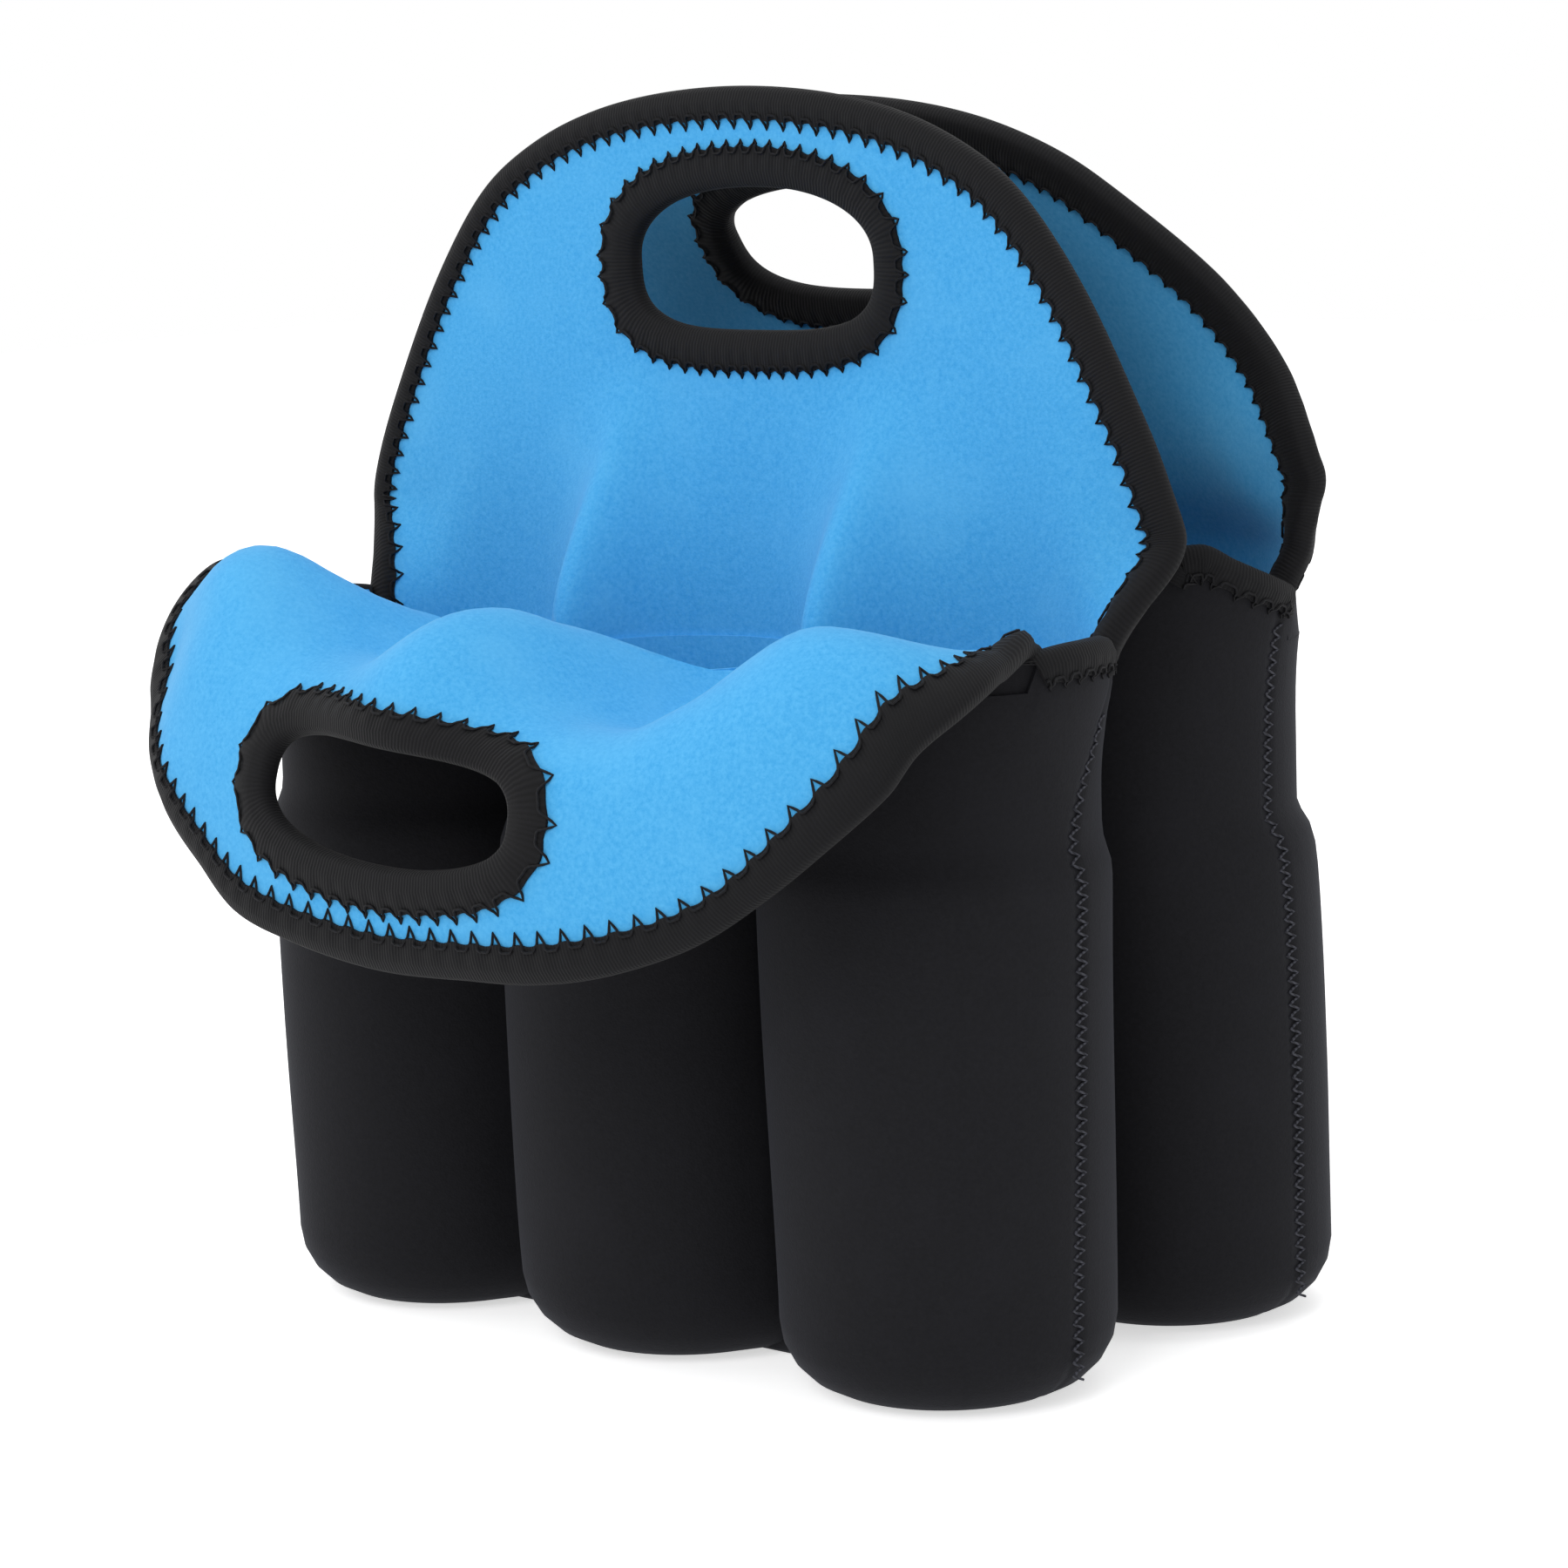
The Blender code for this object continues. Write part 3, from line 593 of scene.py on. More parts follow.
frontPoints = [   # (across, along, x, y, z) of the folded flap, middle of the sheet
    (0, 10, 0, -36.5, 158.5), (-0.5, 20, -1, -44, 162.3), (0, 32, -2, -56, 163.2), (0, 44, -3, -67, 160.2),
    (0, 56, -4, -76, 153.5), (0, 68, -5, -80.3, 144.3), (0, 83, -6, -82.5, 131), (0, 100, -6, -82.8, 114.5),
    (0, 121, -6, -80.8, 93.8),
    (-73, 10, -73, -33, 160), (-73, 20, -73.5, -37, 168.3), (-73, 30, -74, -45, 172.3), (-73, 42, -75, -56.5, 169.5),
    (-73, 54, -75, -62, 161.5), (-73, 66, -76, -68.5, 149.5), (-73, 80, -76.3, -72.5, 135.5),
    (-73, 101.8, -75, -74.5, 116),
    (-36.5, 12, -36.5, -14, 153), (-36.5, 24, -36.5, -26, 152.2), (-36.5, 36, -37, -38, 151.3),
    (-36.5, 46, -37.5, -48.5, 150.8), (-36.5, 57, -39, -60, 151.5), (-36.5, 67, -41, -70, 147.8),
    (-36.5, 78, -42, -76.5, 138.5), (-36.5, 92, -43, -80, 124.5), (-36.5, 117.6, -42.5, -81, 99),
    (36.5, 12, 36.5, -12, 146.5), (36.5, 24, 36.5, -25, 143), (36.5, 36, 36.5, -38, 140.7),
    (36.5, 48, 36, -51, 140.7), (36.5, 60, 34, -64.5, 142), (36.5, 72, 32, -75, 137.5),
    (36.5, 84, 31, -79, 127), (36.5, 98, 30.5, -81, 113.5), (36.5, 117.6, 31, -79.8, 94.8),
    (51, 22, 51.5, -33, 149), (51, 34, 51, -45, 146.5), (51, 46, 51, -57, 145),
    (73, 10, 74, -33.5, 157.5), (73, 20, 76, -39, 162.3), (73, 32, 78, -49.5, 161), (73, 44, 80, -58.5, 154),
    (73, 56, 79, -64.5, 144), (73, 70, 76, -68.5, 131.5), (73, 84, 73, -71, 118.5), (69, 104.5, 63.4, -73.5, 102.2),
    (23, 119.6, 17.3, -80.5, 94.5), (57, 110.8, 51.4, -77, 98.4), (84, 90, 81.5, -68, 112.6),
    (95.5, 74, 96.3, -64, 124.2), (104.5, 58, 109, -57, 137.3), (111, 46, 112.5, -50.5, 145),
    (114.5, 37.5, 115, -43, 149.8), (117, 29, 115.5, -34.5, 153.8), (116.8, 18, 113, -23.5, 156.5),
    (113, 12, 110, -16, 156.5), (96, 24, 98, -34, 160), (98, 44, 101, -49.5, 155.5), (94, 10, 95, -26, 156.5),
    (-32, 118.2, -38.3, -81, 98.3), (-46, 114.5, -51.8, -80, 102.2), (-61, 108.8, -64, -77.5, 109.6),
    (-85, 88.5, -86.4, -69, 125), (-94, 76, -95.8, -62, 133), (-101.5, 64, -105, -54, 141.2),
    (-108.5, 51, -111.2, -45, 150), (-114, 38.5, -113.4, -36, 158.8), (-117, 27, -113.4, -26, 164.5),
    (-113, 10, -108.5, -17, 159), (-96, 24, -96, -28, 168), (-98, 43, -99.5, -45.5, 161.5), (-94, 10, -94, -25, 159),
    (-92, 62, -97.5, -53.5, 147.3), (-84.5, 73, -88.5, -65.5, 138), (-76, 84, -79.5, -73, 131.8),
]
foldedSheet = sheetThrough(frontPoints)


def frontSurface(q):
    x, s = q.T
    wallX, wallY = wallPlan(x)
    wall = np.stack([wallX, -wallY, bank["height"] + s - frontBank["dip"] * rimDip(x)], axis=1)
    w = ease((s - 5 * ease((np.abs(x) - 104) / 10)) / 15)[:, None]
    return wall * (1 - w) + foldedSheet(np.c_[x, np.maximum(s, 3)]) * w


def normals(surface, sign, q):
    d = 0.6
    across = surface(q + [d, 0]) - surface(q - [d, 0])
    low = np.c_[q[:, 0], np.maximum(q[:, 1] - d, 0)]
    along = surface(q + [0, d]) - surface(low)
    n = np.cross(across, along)
    return sign * n / np.maximum(np.linalg.norm(n, axis=1), 1e-9)[:, None]


def lift(surface, sign, q, height):   # points of a surface, raised along its normal
    return surface(q) + normals(surface, sign, q) * np.reshape(height, (-1, 1))


flaps = {   # slot: half length, half height, from the free end, off the middle; legs of the bindings: left, right
    "front": {"surface": frontSurface, "sign": -1, "length": 121.0, "corner": 120.0, "shift": 0.0, "wide": 0.0,
              "slot": (36.2, 13.8, 34.6, -0.8), "leg": (7.4, 8.2), "slotLeg": 8.0, "stitch": (6.2, 2.7),
              "root": [(120, 7.6), (118.2, 8.6), (117.1, 11), (116.8, 15.5), (117.1, 21)]},
    "middle": {"surface": middleSurface, "sign": 1, "length": 120.0, "corner": 113.0, "shift": -3.8, "wide": 0.0,
               "slot": (35.4, 16.8, 36.6, 0.0), "leg": (5.4, 6.6), "slotLeg": 8.0, "stitch": (4.9, 2.0),
               "root": [(113, 0), (113.1, 5), (113.8, 10), (115.4, 16), (117, 22)]},
    "rear": {"surface": rearSurface, "sign": 1, "length": 131.8, "corner": 121.0, "shift": 0.0, "wide": -3.0,
             "slot": (38.0, 16.1, 37.0, 0.0), "leg": (7.0, 8.0), "slotLeg": 8.0, "stitch": (4.7, 1.9),
             "root": [(121, 11), (118.8, 12.5), (117.4, 16.5), (117, 23), (117.3, 32)]},
}
slotShape = {"endPower": 2.2, "mouthPower": 3.2}


def outline(f, spacing):   # the bound edge from the right root over the free end to the left root
    half = f["root"] + [(w + f["wide"] * math.exp(-((e - 24) / 16) ** 2) * ease(e / 6), f["length"] - e)
                        for w, e in crown]
    line = np.array(half + [(-w, s) for w, s in half[-2::-1]], float)
    line[:, 0] += f["shift"] * ease(line[:, 1] / 34)
    return curveThrough(line, spacing)


def slotLine(f, spacing):   # the cut edge of the hand slot, drawn clockwise
    long, high, fromEnd, off = f["slot"]
    t = np.linspace(0, 2 * math.pi, 721)[:-1]
    power = np.where(np.sin(t) > 0, slotShape["endPower"], slotShape["mouthPower"])
    x = np.sign(np.cos(t)) * np.abs(np.cos(t)) ** (2 / power) * long + off
    y = np.sign(np.sin(t)) * np.abs(np.sin(t)) ** (2 / power) * high + f["length"] - fromEnd
    return evenly(np.c_[x, y][::-1], spacing, closed=True)


def inward(line, closed):   # unit normals to the left of a line, into the cloth
    if closed:
        along = np.roll(line, -1, axis=0) - np.roll(line, 1, axis=0)
    else:
        along = np.gradient(line, axis=0)
    n = np.c_[-along[:, 1], along[:, 0]]
    return n / np.linalg.norm(n, axis=1)[:, None]


def insideOf(points, loop):
    x, y = points.T
    found = np.zeros(len(points), bool)
    a, b = loop, np.roll(loop, -1, axis=0)
    for (ax, ay), (bx, by) in zip(a, b):
        crosses = (ay > y) != (by > y)
        with np.errstate(divide="ignore", invalid="ignore"):
            found ^= crosses & (x < (bx - ax) * (y - ay) / (by - ay) + ax)
    return found


def flatCut(f):   # the flat cut with its slot, meshed with triangles
    edge, hole = outline(f, flap["border"]), slotLine(f, flap["border"])
    root = np.linspace(-f["corner"], f["corner"], 95)
    root = root[np.abs(np.abs(root) - bank["pitch"] / 2) > 4.5]
    beside = np.array([-3.4, -1.9, -0.9, 0, 0.9, 1.9, 3.4])
    root = np.sort(np.r_[root, beside - bank["pitch"] / 2, beside + bank["pitch"] / 2])
    root = np.c_[root, np.zeros(len(root))]
    loop = np.vstack([edge, root if edge[0, 1] > 1 else root[1:-1]])
    g = flap["grid"]
    gx, gy = np.meshgrid(np.arange(-118, 119, g) + 0.1, np.arange(g * 0.7, f["length"], g))
    gx = gx + (np.arange(gx.shape[0]) % 2)[:, None] * g / 2
    grid = np.c_[gx.ravel(), gy.ravel()]
    grid = grid[insideOf(grid, loop) & ~insideOf(grid, hole)]
    border = np.vstack([loop, hole])
    aside = np.abs(np.abs(grid[:, 0]) - bank["pitch"] / 2) > flap["creaseSide"]
    grid = grid[aside | (grid[:, 1] > flap["creaseTop"])]
    cx, cy = np.meshgrid([-4.4, -2.7, -1.3, 0, 1.3, 2.7, 4.4], np.arange(1.6, flap["creaseTop"], 2.2))
    creases = np.c_[cx.ravel() + bank["pitch"] / 2, cy.ravel()]
    grid = np.vstack([grid, creases, creases * [-1, 1]])
    near = np.min(np.linalg.norm(grid[:, None] - border[None], axis=2), axis=1)
    points = np.vstack([border, grid[near > flap["border"] / 2]])
    n, m = len(loop), len(hole)
    edges = [(i, (i + 1) % n) for i in range(n)] + [(n + i, n + (i + 1) % m) for i in range(m)]
    found, _, faces, *_ = delaunay_2d_cdt([Vector(p) for p in points], edges, [], 0, 1e-5)
    found, faces = np.array([tuple(p) for p in found]), np.array(faces)
    centres = found[faces].mean(1)
    faces = faces[insideOf(centres, loop) & ~insideOf(centres, hole)]
    one, two = (found[faces[:, k]] - found[faces[:, 0]] for k in (1, 2))
    turn = one[:, 0] * two[:, 1] - one[:, 1] * two[:, 0]
    return found, [tuple(t if up else t[::-1]) for t, up in zip(faces.tolist(), turn > 0)]


def slab(f, cut, low, high):   # the cut given thickness: from low to high along the normal
    flat, triangles = cut
    n = len(flat)
    top = lift(f["surface"], f["sign"], flat, np.full(n, high))
    bottom = lift(f["surface"], f["sign"], flat, np.full(n, low))
    faces = list(triangles) + [tuple(i + n for i in t[::-1]) for t in triangles]
    seen = {(t[k], t[(k + 1) % 3]) for t in triangles for k in range(3)}
    faces += [(i, i + n, j + n, j) for i, j in seen if (j, i) not in seen]
    if f["sign"] < 0:
        faces = [t[::-1] for t in faces]
    return np.vstack([top, bottom]), faces


def sweptFaces(rings, count, closed=False, flip=False):   # round a swept section: (ring, point), and as indices
    faces = [[(r, i), (r + 1, i), (r + 1, i + 1), (r, i + 1)] for r in range(rings - 1 + closed) for i in range(count)]
    if not closed:
        faces += [[(0, i) for i in range(count)], [(rings - 1, i) for i in range(count)][::-1]]
    faces = [face[::-1] if flip else face for face in faces]
    return faces, [[r % rings * count + i % count for r, i in face] for face in faces]


def sweep(name, points, rings, material, uv, closed=False, flip=False):   # uv: mm from ring to ring, mm across
    corners, faces = sweptFaces(rings, len(points) // rings, closed, flip)
    loops = [(r * uv[0], uv[1][i]) for face in corners for r, i in face] if uv else None
    return piece(name, points, faces, material, loops)


binding = {"cloth": 2.04, "tape": 0.8, "pucker": 0.26, "step": 0.84}   # mm


def bindingSection(leg):   # (inward from the cut edge, height), the folded tape's closed section
    c, t = binding["cloth"], binding["tape"]
    upper = [(leg, c + 0.15), (leg - 0.1, c + t), (leg - 1.2, c + t + 0.25), (leg * 0.62, c + t + 0.5),
             (leg * 0.34, c + t + 0.45), (leg * 0.12, c + t * 0.8), (-0.1, c + t * 0.35), (-0.8, c * 0.75),
             (-1.15, 0.0)]
    outer = upper + [(a, -b) for a, b in upper[-2::-1]]
    return outer + [(leg * 0.5, -c), (0.0, -c), (0.0, c), (leg * 0.5, c)]


def stitchCount(f, line, closed, legs):   # how many stitches along each point of a line is
    n = len(line)
    outside = 2 * math.pi * legs[0] if closed else 0   # the stitches lie outside the line of a slot
    whole = round(((n if closed else n - 1) * binding["step"] + outside) / f["stitch"][0])
    return np.arange(n) * whole / (n if closed else n - 1), whole


def legsAlong(f, line, legs):   # the binding's width at each point: from the left one to the right one
    wide = legs[0] + (legs[1] - legs[0]) * (np.clip(line[:, 0] / 117, -1, 1) + 1) / 2
    return wide * (0.38 + 0.62 * ease((line[:, 1] - line[0, 1]) / 13)) if line[0, 1] > 1 else wide


def sweepBinding(name, f, line, closed, legs):
    sections = np.array([bindingSection(leg) for leg in legs])
    into = inward(line, closed)
    swell = -np.cos(2 * math.pi * stitchCount(f, line, closed, legs)[0])[:, None]   # 1 at the stitches' points
    a, b = sections[:, :, 0], sections[:, :, 1]
    onLeg = (a > legs[:, None] * 0.55) & (np.abs(b) > binding["cloth"] + 0.3)
    b = b + onLeg * np.sign(b) * binding["pucker"] * (swell - 1) * 0.5
    a = a + (a > legs[:, None] * 0.8) * swell * binding["pucker"]
    q = (line[:, None] + into[:, None] * a[:, :, None]).reshape(-1, 2)
    points = lift(f["surface"], f["sign"], q, b.ravel())
    section = sections[len(line) // 2]
    across = np.r_[0, np.cumsum(np.linalg.norm(np.diff(np.vstack([section, section[:1]]), axis=0), axis=1))]
    return sweep(name, points, len(line), bindingTape, (binding["step"], across), closed, f["sign"] > 0)


thread = {"radius": 0.30, "sides": 5, "over": 1.3, "narrow": 3.6, "rise": 1.05}   # mm; narrow: the points' sharpness


def tube(path, up, radius, closed=False):
    along = (np.roll(path, -1, axis=0) - np.roll(path, 1, axis=0)) if closed else np.gradient(path, axis=0)
    side = np.cross(along, up)
    side /= np.linalg.norm(side, axis=1)[:, None]
    rise = np.cross(side, along)
    rise /= np.linalg.norm(rise, axis=1)[:, None]
    turns = (np.arange(thread["sides"]) * 2 * math.pi / thread["sides"])[None, :, None]
    points = path[:, None] + radius * (np.cos(turns) * side[:, None] + np.sin(turns) * rise[:, None])
    return points.reshape(-1, 3), sweptFaces(len(path), thread["sides"], closed)[1]


def zigzag(f, line, closed, legs, face):   # the stitch that holds a binding, on the blue face or the black
    into = inward(line, closed)
    whole, beyond = stitchCount(f, line, closed, legs)[1], f["stitch"][1] * (0.7 if closed else 1)
    u = np.linspace(0, whole, whole * 12 + 1)[:-1 if closed else None]
    tip = np.maximum(0, 1 - thread["narrow"] * np.abs(np.mod(u, 1) - 0.5))   # the thread lies on the tape between
    at = u / whole * (len(line) if closed else len(line) - 1)
    i = np.minimum(at.astype(int), len(line) - 1)
    j = (i + 1) % len(line) if closed else np.minimum(i + 1, len(line) - 1)
    t = at - i
    base, n = (v[i] * (1 - t)[:, None] + v[j] * t[:, None] for v in (line, into))
    leg = legs[i]
    a = leg - thread["over"] + (thread["over"] + beyond) * tip
    height = face * (binding["cloth"] + 0.15 + thread["rise"] * ease((leg + 0.5 - a) / 0.9))
    q = base + n * a[:, None]
    path = lift(f["surface"], f["sign"], q, height)
    return tube(path, face * normals(f["surface"], f["sign"], q), thread["radius"], closed)


def stitching(name, f, line, closed, legs):
    return piece(name, *join([zigzag(f, line, closed, legs, face) for face in (1, -1)]), edgeThread)


def cutAway(source, name, cuts):   # a copy kept on the wanted side of each (point, direction) plane, closed again
    made = source.copy()
    made.data = source.data.copy()
    made.name = made.data.name = name
    bpy.context.collection.objects.link(made)
    work = bmesh.new()
    work.from_mesh(made.data)
    for point, direction in cuts:
        found = bmesh.ops.bisect_plane(work, geom=work.verts[:] + work.edges[:] + work.faces[:],
                                       plane_co=Vector(point) * mm, plane_no=Vector(direction), clear_inner=True)
        rim = [e for e in found["geom_cut"] if isinstance(e, bmesh.types.BMEdge) and e.is_boundary]
        if rim:
            bmesh.ops.triangle_fill(work, edges=rim, use_beauty=True)
    work.to_mesh(made.data)
    work.free()
    return made


foldCuts = {   # where the front flap is split between its fold's two strips and its panel
    "first": ((0, -49, 0), (0, -1, 0)),
    "second": ((0, -74.3, 163.8), (0, -0.853, -0.522)),
}
foldBends = {   # each part's parent, and a hinge line square to the cut it starts from
    "front_fold_lower": ("front_bank", (0, -33, 160), (0, -48.5, 160)),
    "front_fold_upper": ("front_fold_lower", (0, -49.5, 160), (0, -59, 160)),
    "front_flap": ("front_fold_upper", (0, -74.7, 163.5), (0, -86.2, 156.5)),
}


def opposite(cut):
    return cut[0], tuple(-d for d in cut[1])


def foldParts(source, node, replaced, slotName):   # splits a front flap piece into its parts and hides the CAD nodes they replace
    parts = [("front_fold_lower", [opposite(foldCuts["first"])]),
             ("front_fold_upper", [foldCuts["first"], opposite(foldCuts["second"])]),
             ("front_flap", [foldCuts["second"]])]
    for body, cuts in parts:
        for side, suffix in replaced[body]:
            extra = [((0, 0, 0), (side, 0, 0))] if side else []
            where = {1: "Right", -1: "Left", 0: ""}[side]
            made = cutAway(source, f"{node}{body.title().replace('_', '')}{where}", cuts + extra)
            parent, start, end = foldBends[body]
            [v * mm for v in start]
            [v * mm for v in end]
            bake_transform(made)
            if suffix:
                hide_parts(f"{body}_{suffix}")
            yield body, made
    bpy.data.objects.remove(source)


flapKinds = (("shell", "neoprene"), ("lining", "lining"), ("edge_binding", "tape"), ("slot_binding", "tape"),
             ("edge_stitching", "thread"), ("slot_stitching", "thread"))


def makeFlap(name):   # its pieces, each with its node's suffix and its slot, then its triangles' areas and places
    f = flaps[name]
    cut = flatCut(f)
    foam = piece(f"{name}Foam", *slab(f, cut, -flap["foam"], flap["lining"] - 0.05), blackJersey)
    lining = piece(f"{name}Lining", *slab(f, cut, flap["lining"], flap["foam"]), blueJersey)
    edge, hole = outline(f, binding["step"]), slotLine(f, binding["step"])
    lines = (("Edge", edge, False, legsAlong(f, edge, f["leg"])),
             ("Slot", hole, True, np.full(len(hole), f["slotLeg"])))
    tapes = [sweepBinding(f"{name}{label}Binding", f, *line) for label, *line in lines]
    stitches = [stitching(f"{name}{label}Stitching", f, *line) for label, *line in lines]
    corners = cut[0][np.array(cut[1])]   # each flat triangle's
    areas = np.abs(np.cross(corners[:, 1] - corners[:, 0], corners[:, 2] - corners[:, 0])) / 2 * mm * mm
    pieces = [(made, *kind) for made, kind in zip([foam, lining] + tapes + stitches, flapKinds)]
    return pieces, areas, f["surface"](corners.mean(1))


flapBends = {
    "middle": ("front_bank", "middle_flap", (0, 33, 150), (0, 33, 166)),
    "rear": ("rear_bank", "rear_flap", (0, 103, 151), (0, 103, 171)),
}
for name in ("middle", "rear"):
    pieces, areas, middles = makeFlap(name)
    bankBody, flapBody, bendStart, bendEnd = flapBends[name]
    for made, suffix, slotName in pieces:
        [v * mm for v in bendStart]
        [v * mm for v in bendEnd]
        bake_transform(made)
        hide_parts(f"{flapBody}_{suffix}")
    for sheet, *_ in pieces[:2]:
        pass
    print(name, "flap made, flat area", round(areas.sum(), 5))

pieces, areas, middles = makeFlap("front")
foam, lining, edgeTape, slotTape, edgeStitch, slotStitch = (p[0] for p in pieces)
past = [(middles - point) @ np.array(direction) > 0 for point, direction in foldCuts.values()]
flatSizes = {   # each part's flat width and length, and its area in the cut
    "front_fold_lower": ((0.236, 0.050), areas[~past[0]].sum()),
    "front_fold_upper": ((0.236, 0.050), areas[past[0] & ~past[1]].sum()),
    "front_flap": ((0.232, 0.085), areas[past[1]].sum()),
}
print("front flap's parts, flat:", {k: round(float(v[1]), 5) for k, v in flatSizes.items()})
for source, replaced, slotName in (
        (foam, {body: [(0, "shell")] for body in foldBends}, "neoprene"),
        (lining, {body: [(0, "lining")] for body in foldBends}, "lining"),
        (edgeTape, {"front_fold_lower": [(-1, "left_binding"), (1, "right_binding")],
                    "front_fold_upper": [(-1, "left_binding"), (1, "right_binding")],
                    "front_flap": [(0, "edge_binding")]}, "tape"),
        (edgeStitch, {"front_fold_lower": [(0, None)], "front_fold_upper": [(0, None)],
                      "front_flap": [(0, "edge_stitching")]}, "thread")):
    for body, part in foldParts(source, source.name.replace("front", "folded"), replaced, slotName):
        if slotName in ("neoprene", "lining"):
            size, area = flatSizes[body]
            print(part.name, "share", round(sum(p.area for p in part.data.polygons) / 2 / area, 3))
for made, suffix, slotName in ((slotTape, "slot_binding", "tape"), (slotStitch, "slot_stitching", "thread")):
    belong(made, "front_flap", f"front_flap_{suffix}", slotName)
print("front flap made")

saddle = {"radius": 36.5, "depth": 2.0, "stitch": (4.7, 1.2)}   # mm, the binding along the low ends of a mouth
seam = {"period": 2.7, "width": 3.2, "radius": 0.3, "low": 6.0, "drop": 9.0, "points": 8}
divider = {"low": 26.0, "high": 146.0, "stitches": 40, "depth": 5.6, "sink": 0.5, "radius": 0.45}


def onEndWall(b, side, degrees, z, deep):   # places on an end pocket's wall, and the way out of it
    turned = degrees if side > 0 else 180 - degrees
    out = np.stack([cosOf(turned), sinOf(turned), 0 * z], axis=1)
    middle = np.stack([0 * z + side * bank["pitch"], b["middle"] + b["shift"](z), z], axis=1)
    return middle + out * (lobeRadius(b, side * bank["pitch"], turned, z) - deep)[:, None], out


def makeSaddle(b, side, label):
    perMm = 180 / math.pi / saddle["radius"]
    f = {"surface": lambda q: onEndWall(b, side, q[:, 0] * perMm, q[:, 1], saddle["depth"])[0],
         "sign": -side, "stitch": saddle["stitch"]}
    degrees = np.linspace(*b["rimEnds"], 60)
    line = evenly(np.c_[degrees / perMm, b["rim"](degrees)], binding["step"])[::-1]
    legs = np.linspace(b["legs"][1], b["legs"][0], len(line))
    name = f"{b['name']}{label.capitalize()}Saddle"
    made = sweepBinding(f"{name}Binding", f, line, False, legs)
    belong(made, f"{b['name']}_bank", f"{b['name']}_{label}_saddle_binding", "tape")
    belong(stitching(f"{name}Stitching", f, line, False, legs), f"{b['name']}_bank", None, "thread")


def makeSeam(b, label, kind, path, up, radius):
    made = piece(f"{b['name']}{label.capitalize()}{kind.capitalize()}Seam", *tube(path, up, radius), seamThread)
    belong(made, f"{b['name']}_bank", f"{b['name']}_{label}_{kind}_seam", "thread")


def makeSideSeam(b, side, label):
    top = float(b["rim"](seamAngle(b, bank["height"]))) - seam["drop"]
    count = round((top - seam["low"]) / seam["period"])
    z = np.linspace(seam["low"], top, count * seam["points"] + 1)
    swing = np.abs(np.mod(np.arange(len(z)) / seam["points"], 1) * 2 - 1) * 2 - 1
    degrees = seamAngle(b, z) + np.degrees(swing * seam["width"] / 2 / 36)
    path, up = onEndWall(b, side, degrees, z, 0.25 * (1 - np.abs(swing)) - 0.05)
    makeSeam(b, label, "side", path, up, seam["radius"])


def makeDividerSeam(b, side, label):   # the line of stitches at the bottom of the crease between two pockets
    z = np.linspace(divider["low"], divider["high"], divider["stitches"] * 6 + 1)
    depth = divider["depth"] + divider["sink"] * np.abs(np.sin(np.arange(len(z)) * math.pi / 6))
    path = np.c_[np.full(len(z), side * bank["pitch"] / 2), b["middle"] + b["shift"](z) - depth, z]
    makeSeam(b, label, "divider", path, np.tile([0.0, -1.0, 0.0], (len(z), 1)), divider["radius"])


for b in (frontBank, rearBank):
    for side, label in ((1, "right"), (-1, "left")):
        for make in (makeSaddle, makeSideSeam, makeDividerSeam):
            make(b, side, label)
print("seams and saddles made")


def strip(name, line, width, thick, material, uv=None):   # a flat ribbon on its edge, with rounded edges
    out = np.cross(np.gradient(line, axis=0), [0.0, 0.0, 1.0])
    out /= np.linalg.norm(out, axis=1)[:, None]
    section = [(-0.5, -0.3), (-0.47, -0.5), (-0.2, -0.5), (0.2, -0.5), (0.47, -0.5), (0.5, -0.3)]
    section = np.array(section + [(a, -b) for a, b in section[::-1]])
    points = line[:, None] + section[:, :1] * [0, 0, width] + out[:, None] * section[:, 1:] * thick
    return sweep(name, points.reshape(-1, 3), len(line), material, uv, flip=True)


def mouthStrip(name, b, side, start, stop, node):   # a narrow blue strip over the sewn top of the wall
    x = np.linspace(start, stop, 40)
    along, away = wallPlan(x)
    line = np.c_[along, b["middle"] + side * away, np.full(40, 149.6)]
    belong(strip(name, line, 1.2, 2.6, blueJersey), f"{b['name']}_bank", node, "lining")


mouthStrip("frontMouthLining", frontBank, 1, -96, 96, "front_mouth_lining")
mouthStrip("rearLeftMouthLining", rearBank, -1, -82, -2, "rear_left_mouth_lining")
mouthStrip("rearRightMouthLining", rearBank, -1, 2, 82, "rear_right_mouth_lining")
joinLow, joinHigh = (np.array(v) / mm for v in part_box("bank_join_tape"))
joinLine = np.c_[np.linspace(joinLow[0], joinHigh[0], 60), np.full(60, 35.4), np.full(60, 152.5)]
joinUv = (float(np.linalg.norm(joinLine[1] - joinLine[0])), range(13))
belong(strip("bankJoinTape", joinLine, 5.0, 0.9, bindingTape, joinUv), "rear_bank", "bank_join_tape", "tape")
print("mouths made")


studio = {
    "floor": "#fafafb", "floorSize": 6.0, "glow": 0.6, "world": 0.55, "aim": (0, 0, 0.15),
    "lamps": (("keySoftbox", (0.4, -1.5, 1.3), 1.0, 12.5), ("fillSoftbox", (-1.4, -0.7, 0.9), 1.0, 5.5),
              ("topSoftbox", (0.2, 0.4, 1.8), 1.2, 7.5)),   # name, place, size in m, power in W
}


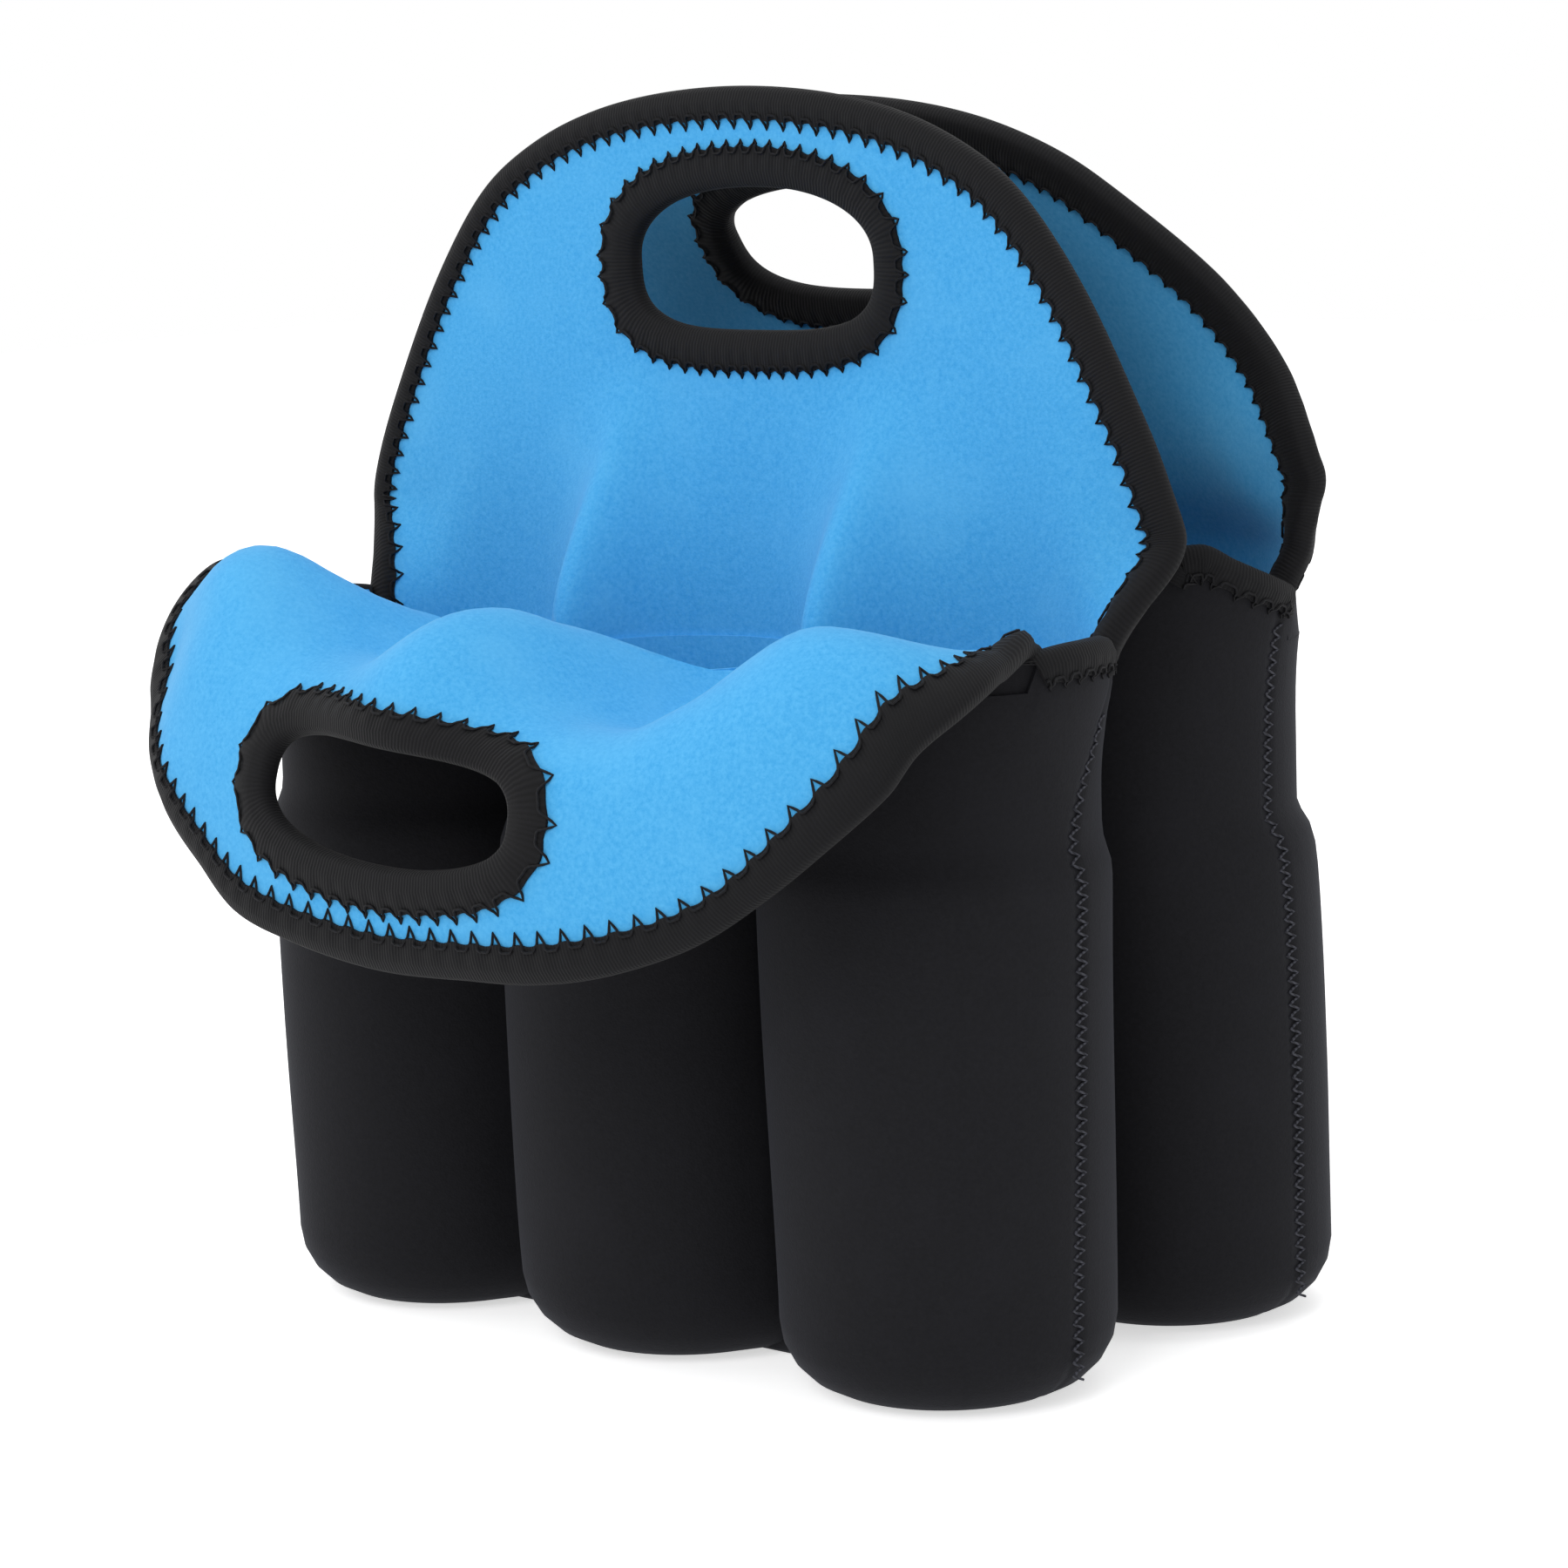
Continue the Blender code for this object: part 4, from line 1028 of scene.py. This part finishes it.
def lookedAt(tree):   # 1 where a thing is seen itself, 0 where it only gives light
    path = addNode(tree, "ShaderNodeLightPath")
    seen = path.outputs["Is Camera Ray"]
    for ray in ("Is Glossy Ray", "Is Transmission Ray"):
        seen = addNode(tree, "ShaderNodeMath", {"operation": "MAXIMUM"}, {0: seen, 1: path.outputs[ray]}).outputs[0]
    return seen


def makeStage(s):
    made, tree = startMaterial("white studio paper")
    grain = addNode(tree, "ShaderNodeTexNoise", {"Scale": 900.0},
                    {"Vector": addNode(tree, "ShaderNodeTexCoord").outputs["Object"]})
    paper = surface(tree, {"Roughness": 0.9}, s["floor"], grain.outputs["Fac"], 0.05, 0.1)
    glow = addNode(tree, "ShaderNodeEmission", {"Strength": s["glow"]})
    lifted = addNode(tree, "ShaderNodeAddShader", None, {0: paper, 1: glow.outputs[0]})
    mixed = addNode(tree, "ShaderNodeMixShader", None, {0: lookedAt(tree), 1: paper, 2: lifted.outputs[0]})
    endMaterial(tree, mixed.outputs[0])
    half = s["floorSize"] / 2 / mm
    corners = [(x * half, y * half, -0.2) for x, y in ((-1, -1), (1, -1), (1, 1), (-1, 1))]
    piece("studioFloor", corners, [(0, 1, 2, 3)], made)
    world = bpy.data.worlds.new("studio")
    bpy.context.scene.world = world
    world.use_nodes = True
    tree = world.node_tree
    tree.nodes.clear()
    soft, white = (addNode(tree, "ShaderNodeBackground", {"Color": (1, 1, 1, 1), "Strength": strength})
                   for strength in (s["world"], 1.0))
    mixed = addNode(tree, "ShaderNodeMixShader", None, {0: lookedAt(tree), 1: soft.outputs[0], 2: white.outputs[0]})
    addNode(tree, "ShaderNodeOutputWorld", links={"Surface": mixed.outputs[0]})


def addLamp(name, place, size, power):
    data = bpy.data.lights.new(name, "AREA")
    data.size, data.energy = size, power
    lamp = bpy.data.objects.new(name, data)
    lamp.location = place
    lamp.rotation_euler = (Vector(studio["aim"]) - Vector(place)).to_track_quat("-Z", "Y").to_euler()
    bpy.context.collection.objects.link(lamp)


makeStage(studio)
for lamp in studio["lamps"]:
    addLamp(*lamp)
bpy.context.scene.view_settings.view_transform = "Standard"
print("studio made")
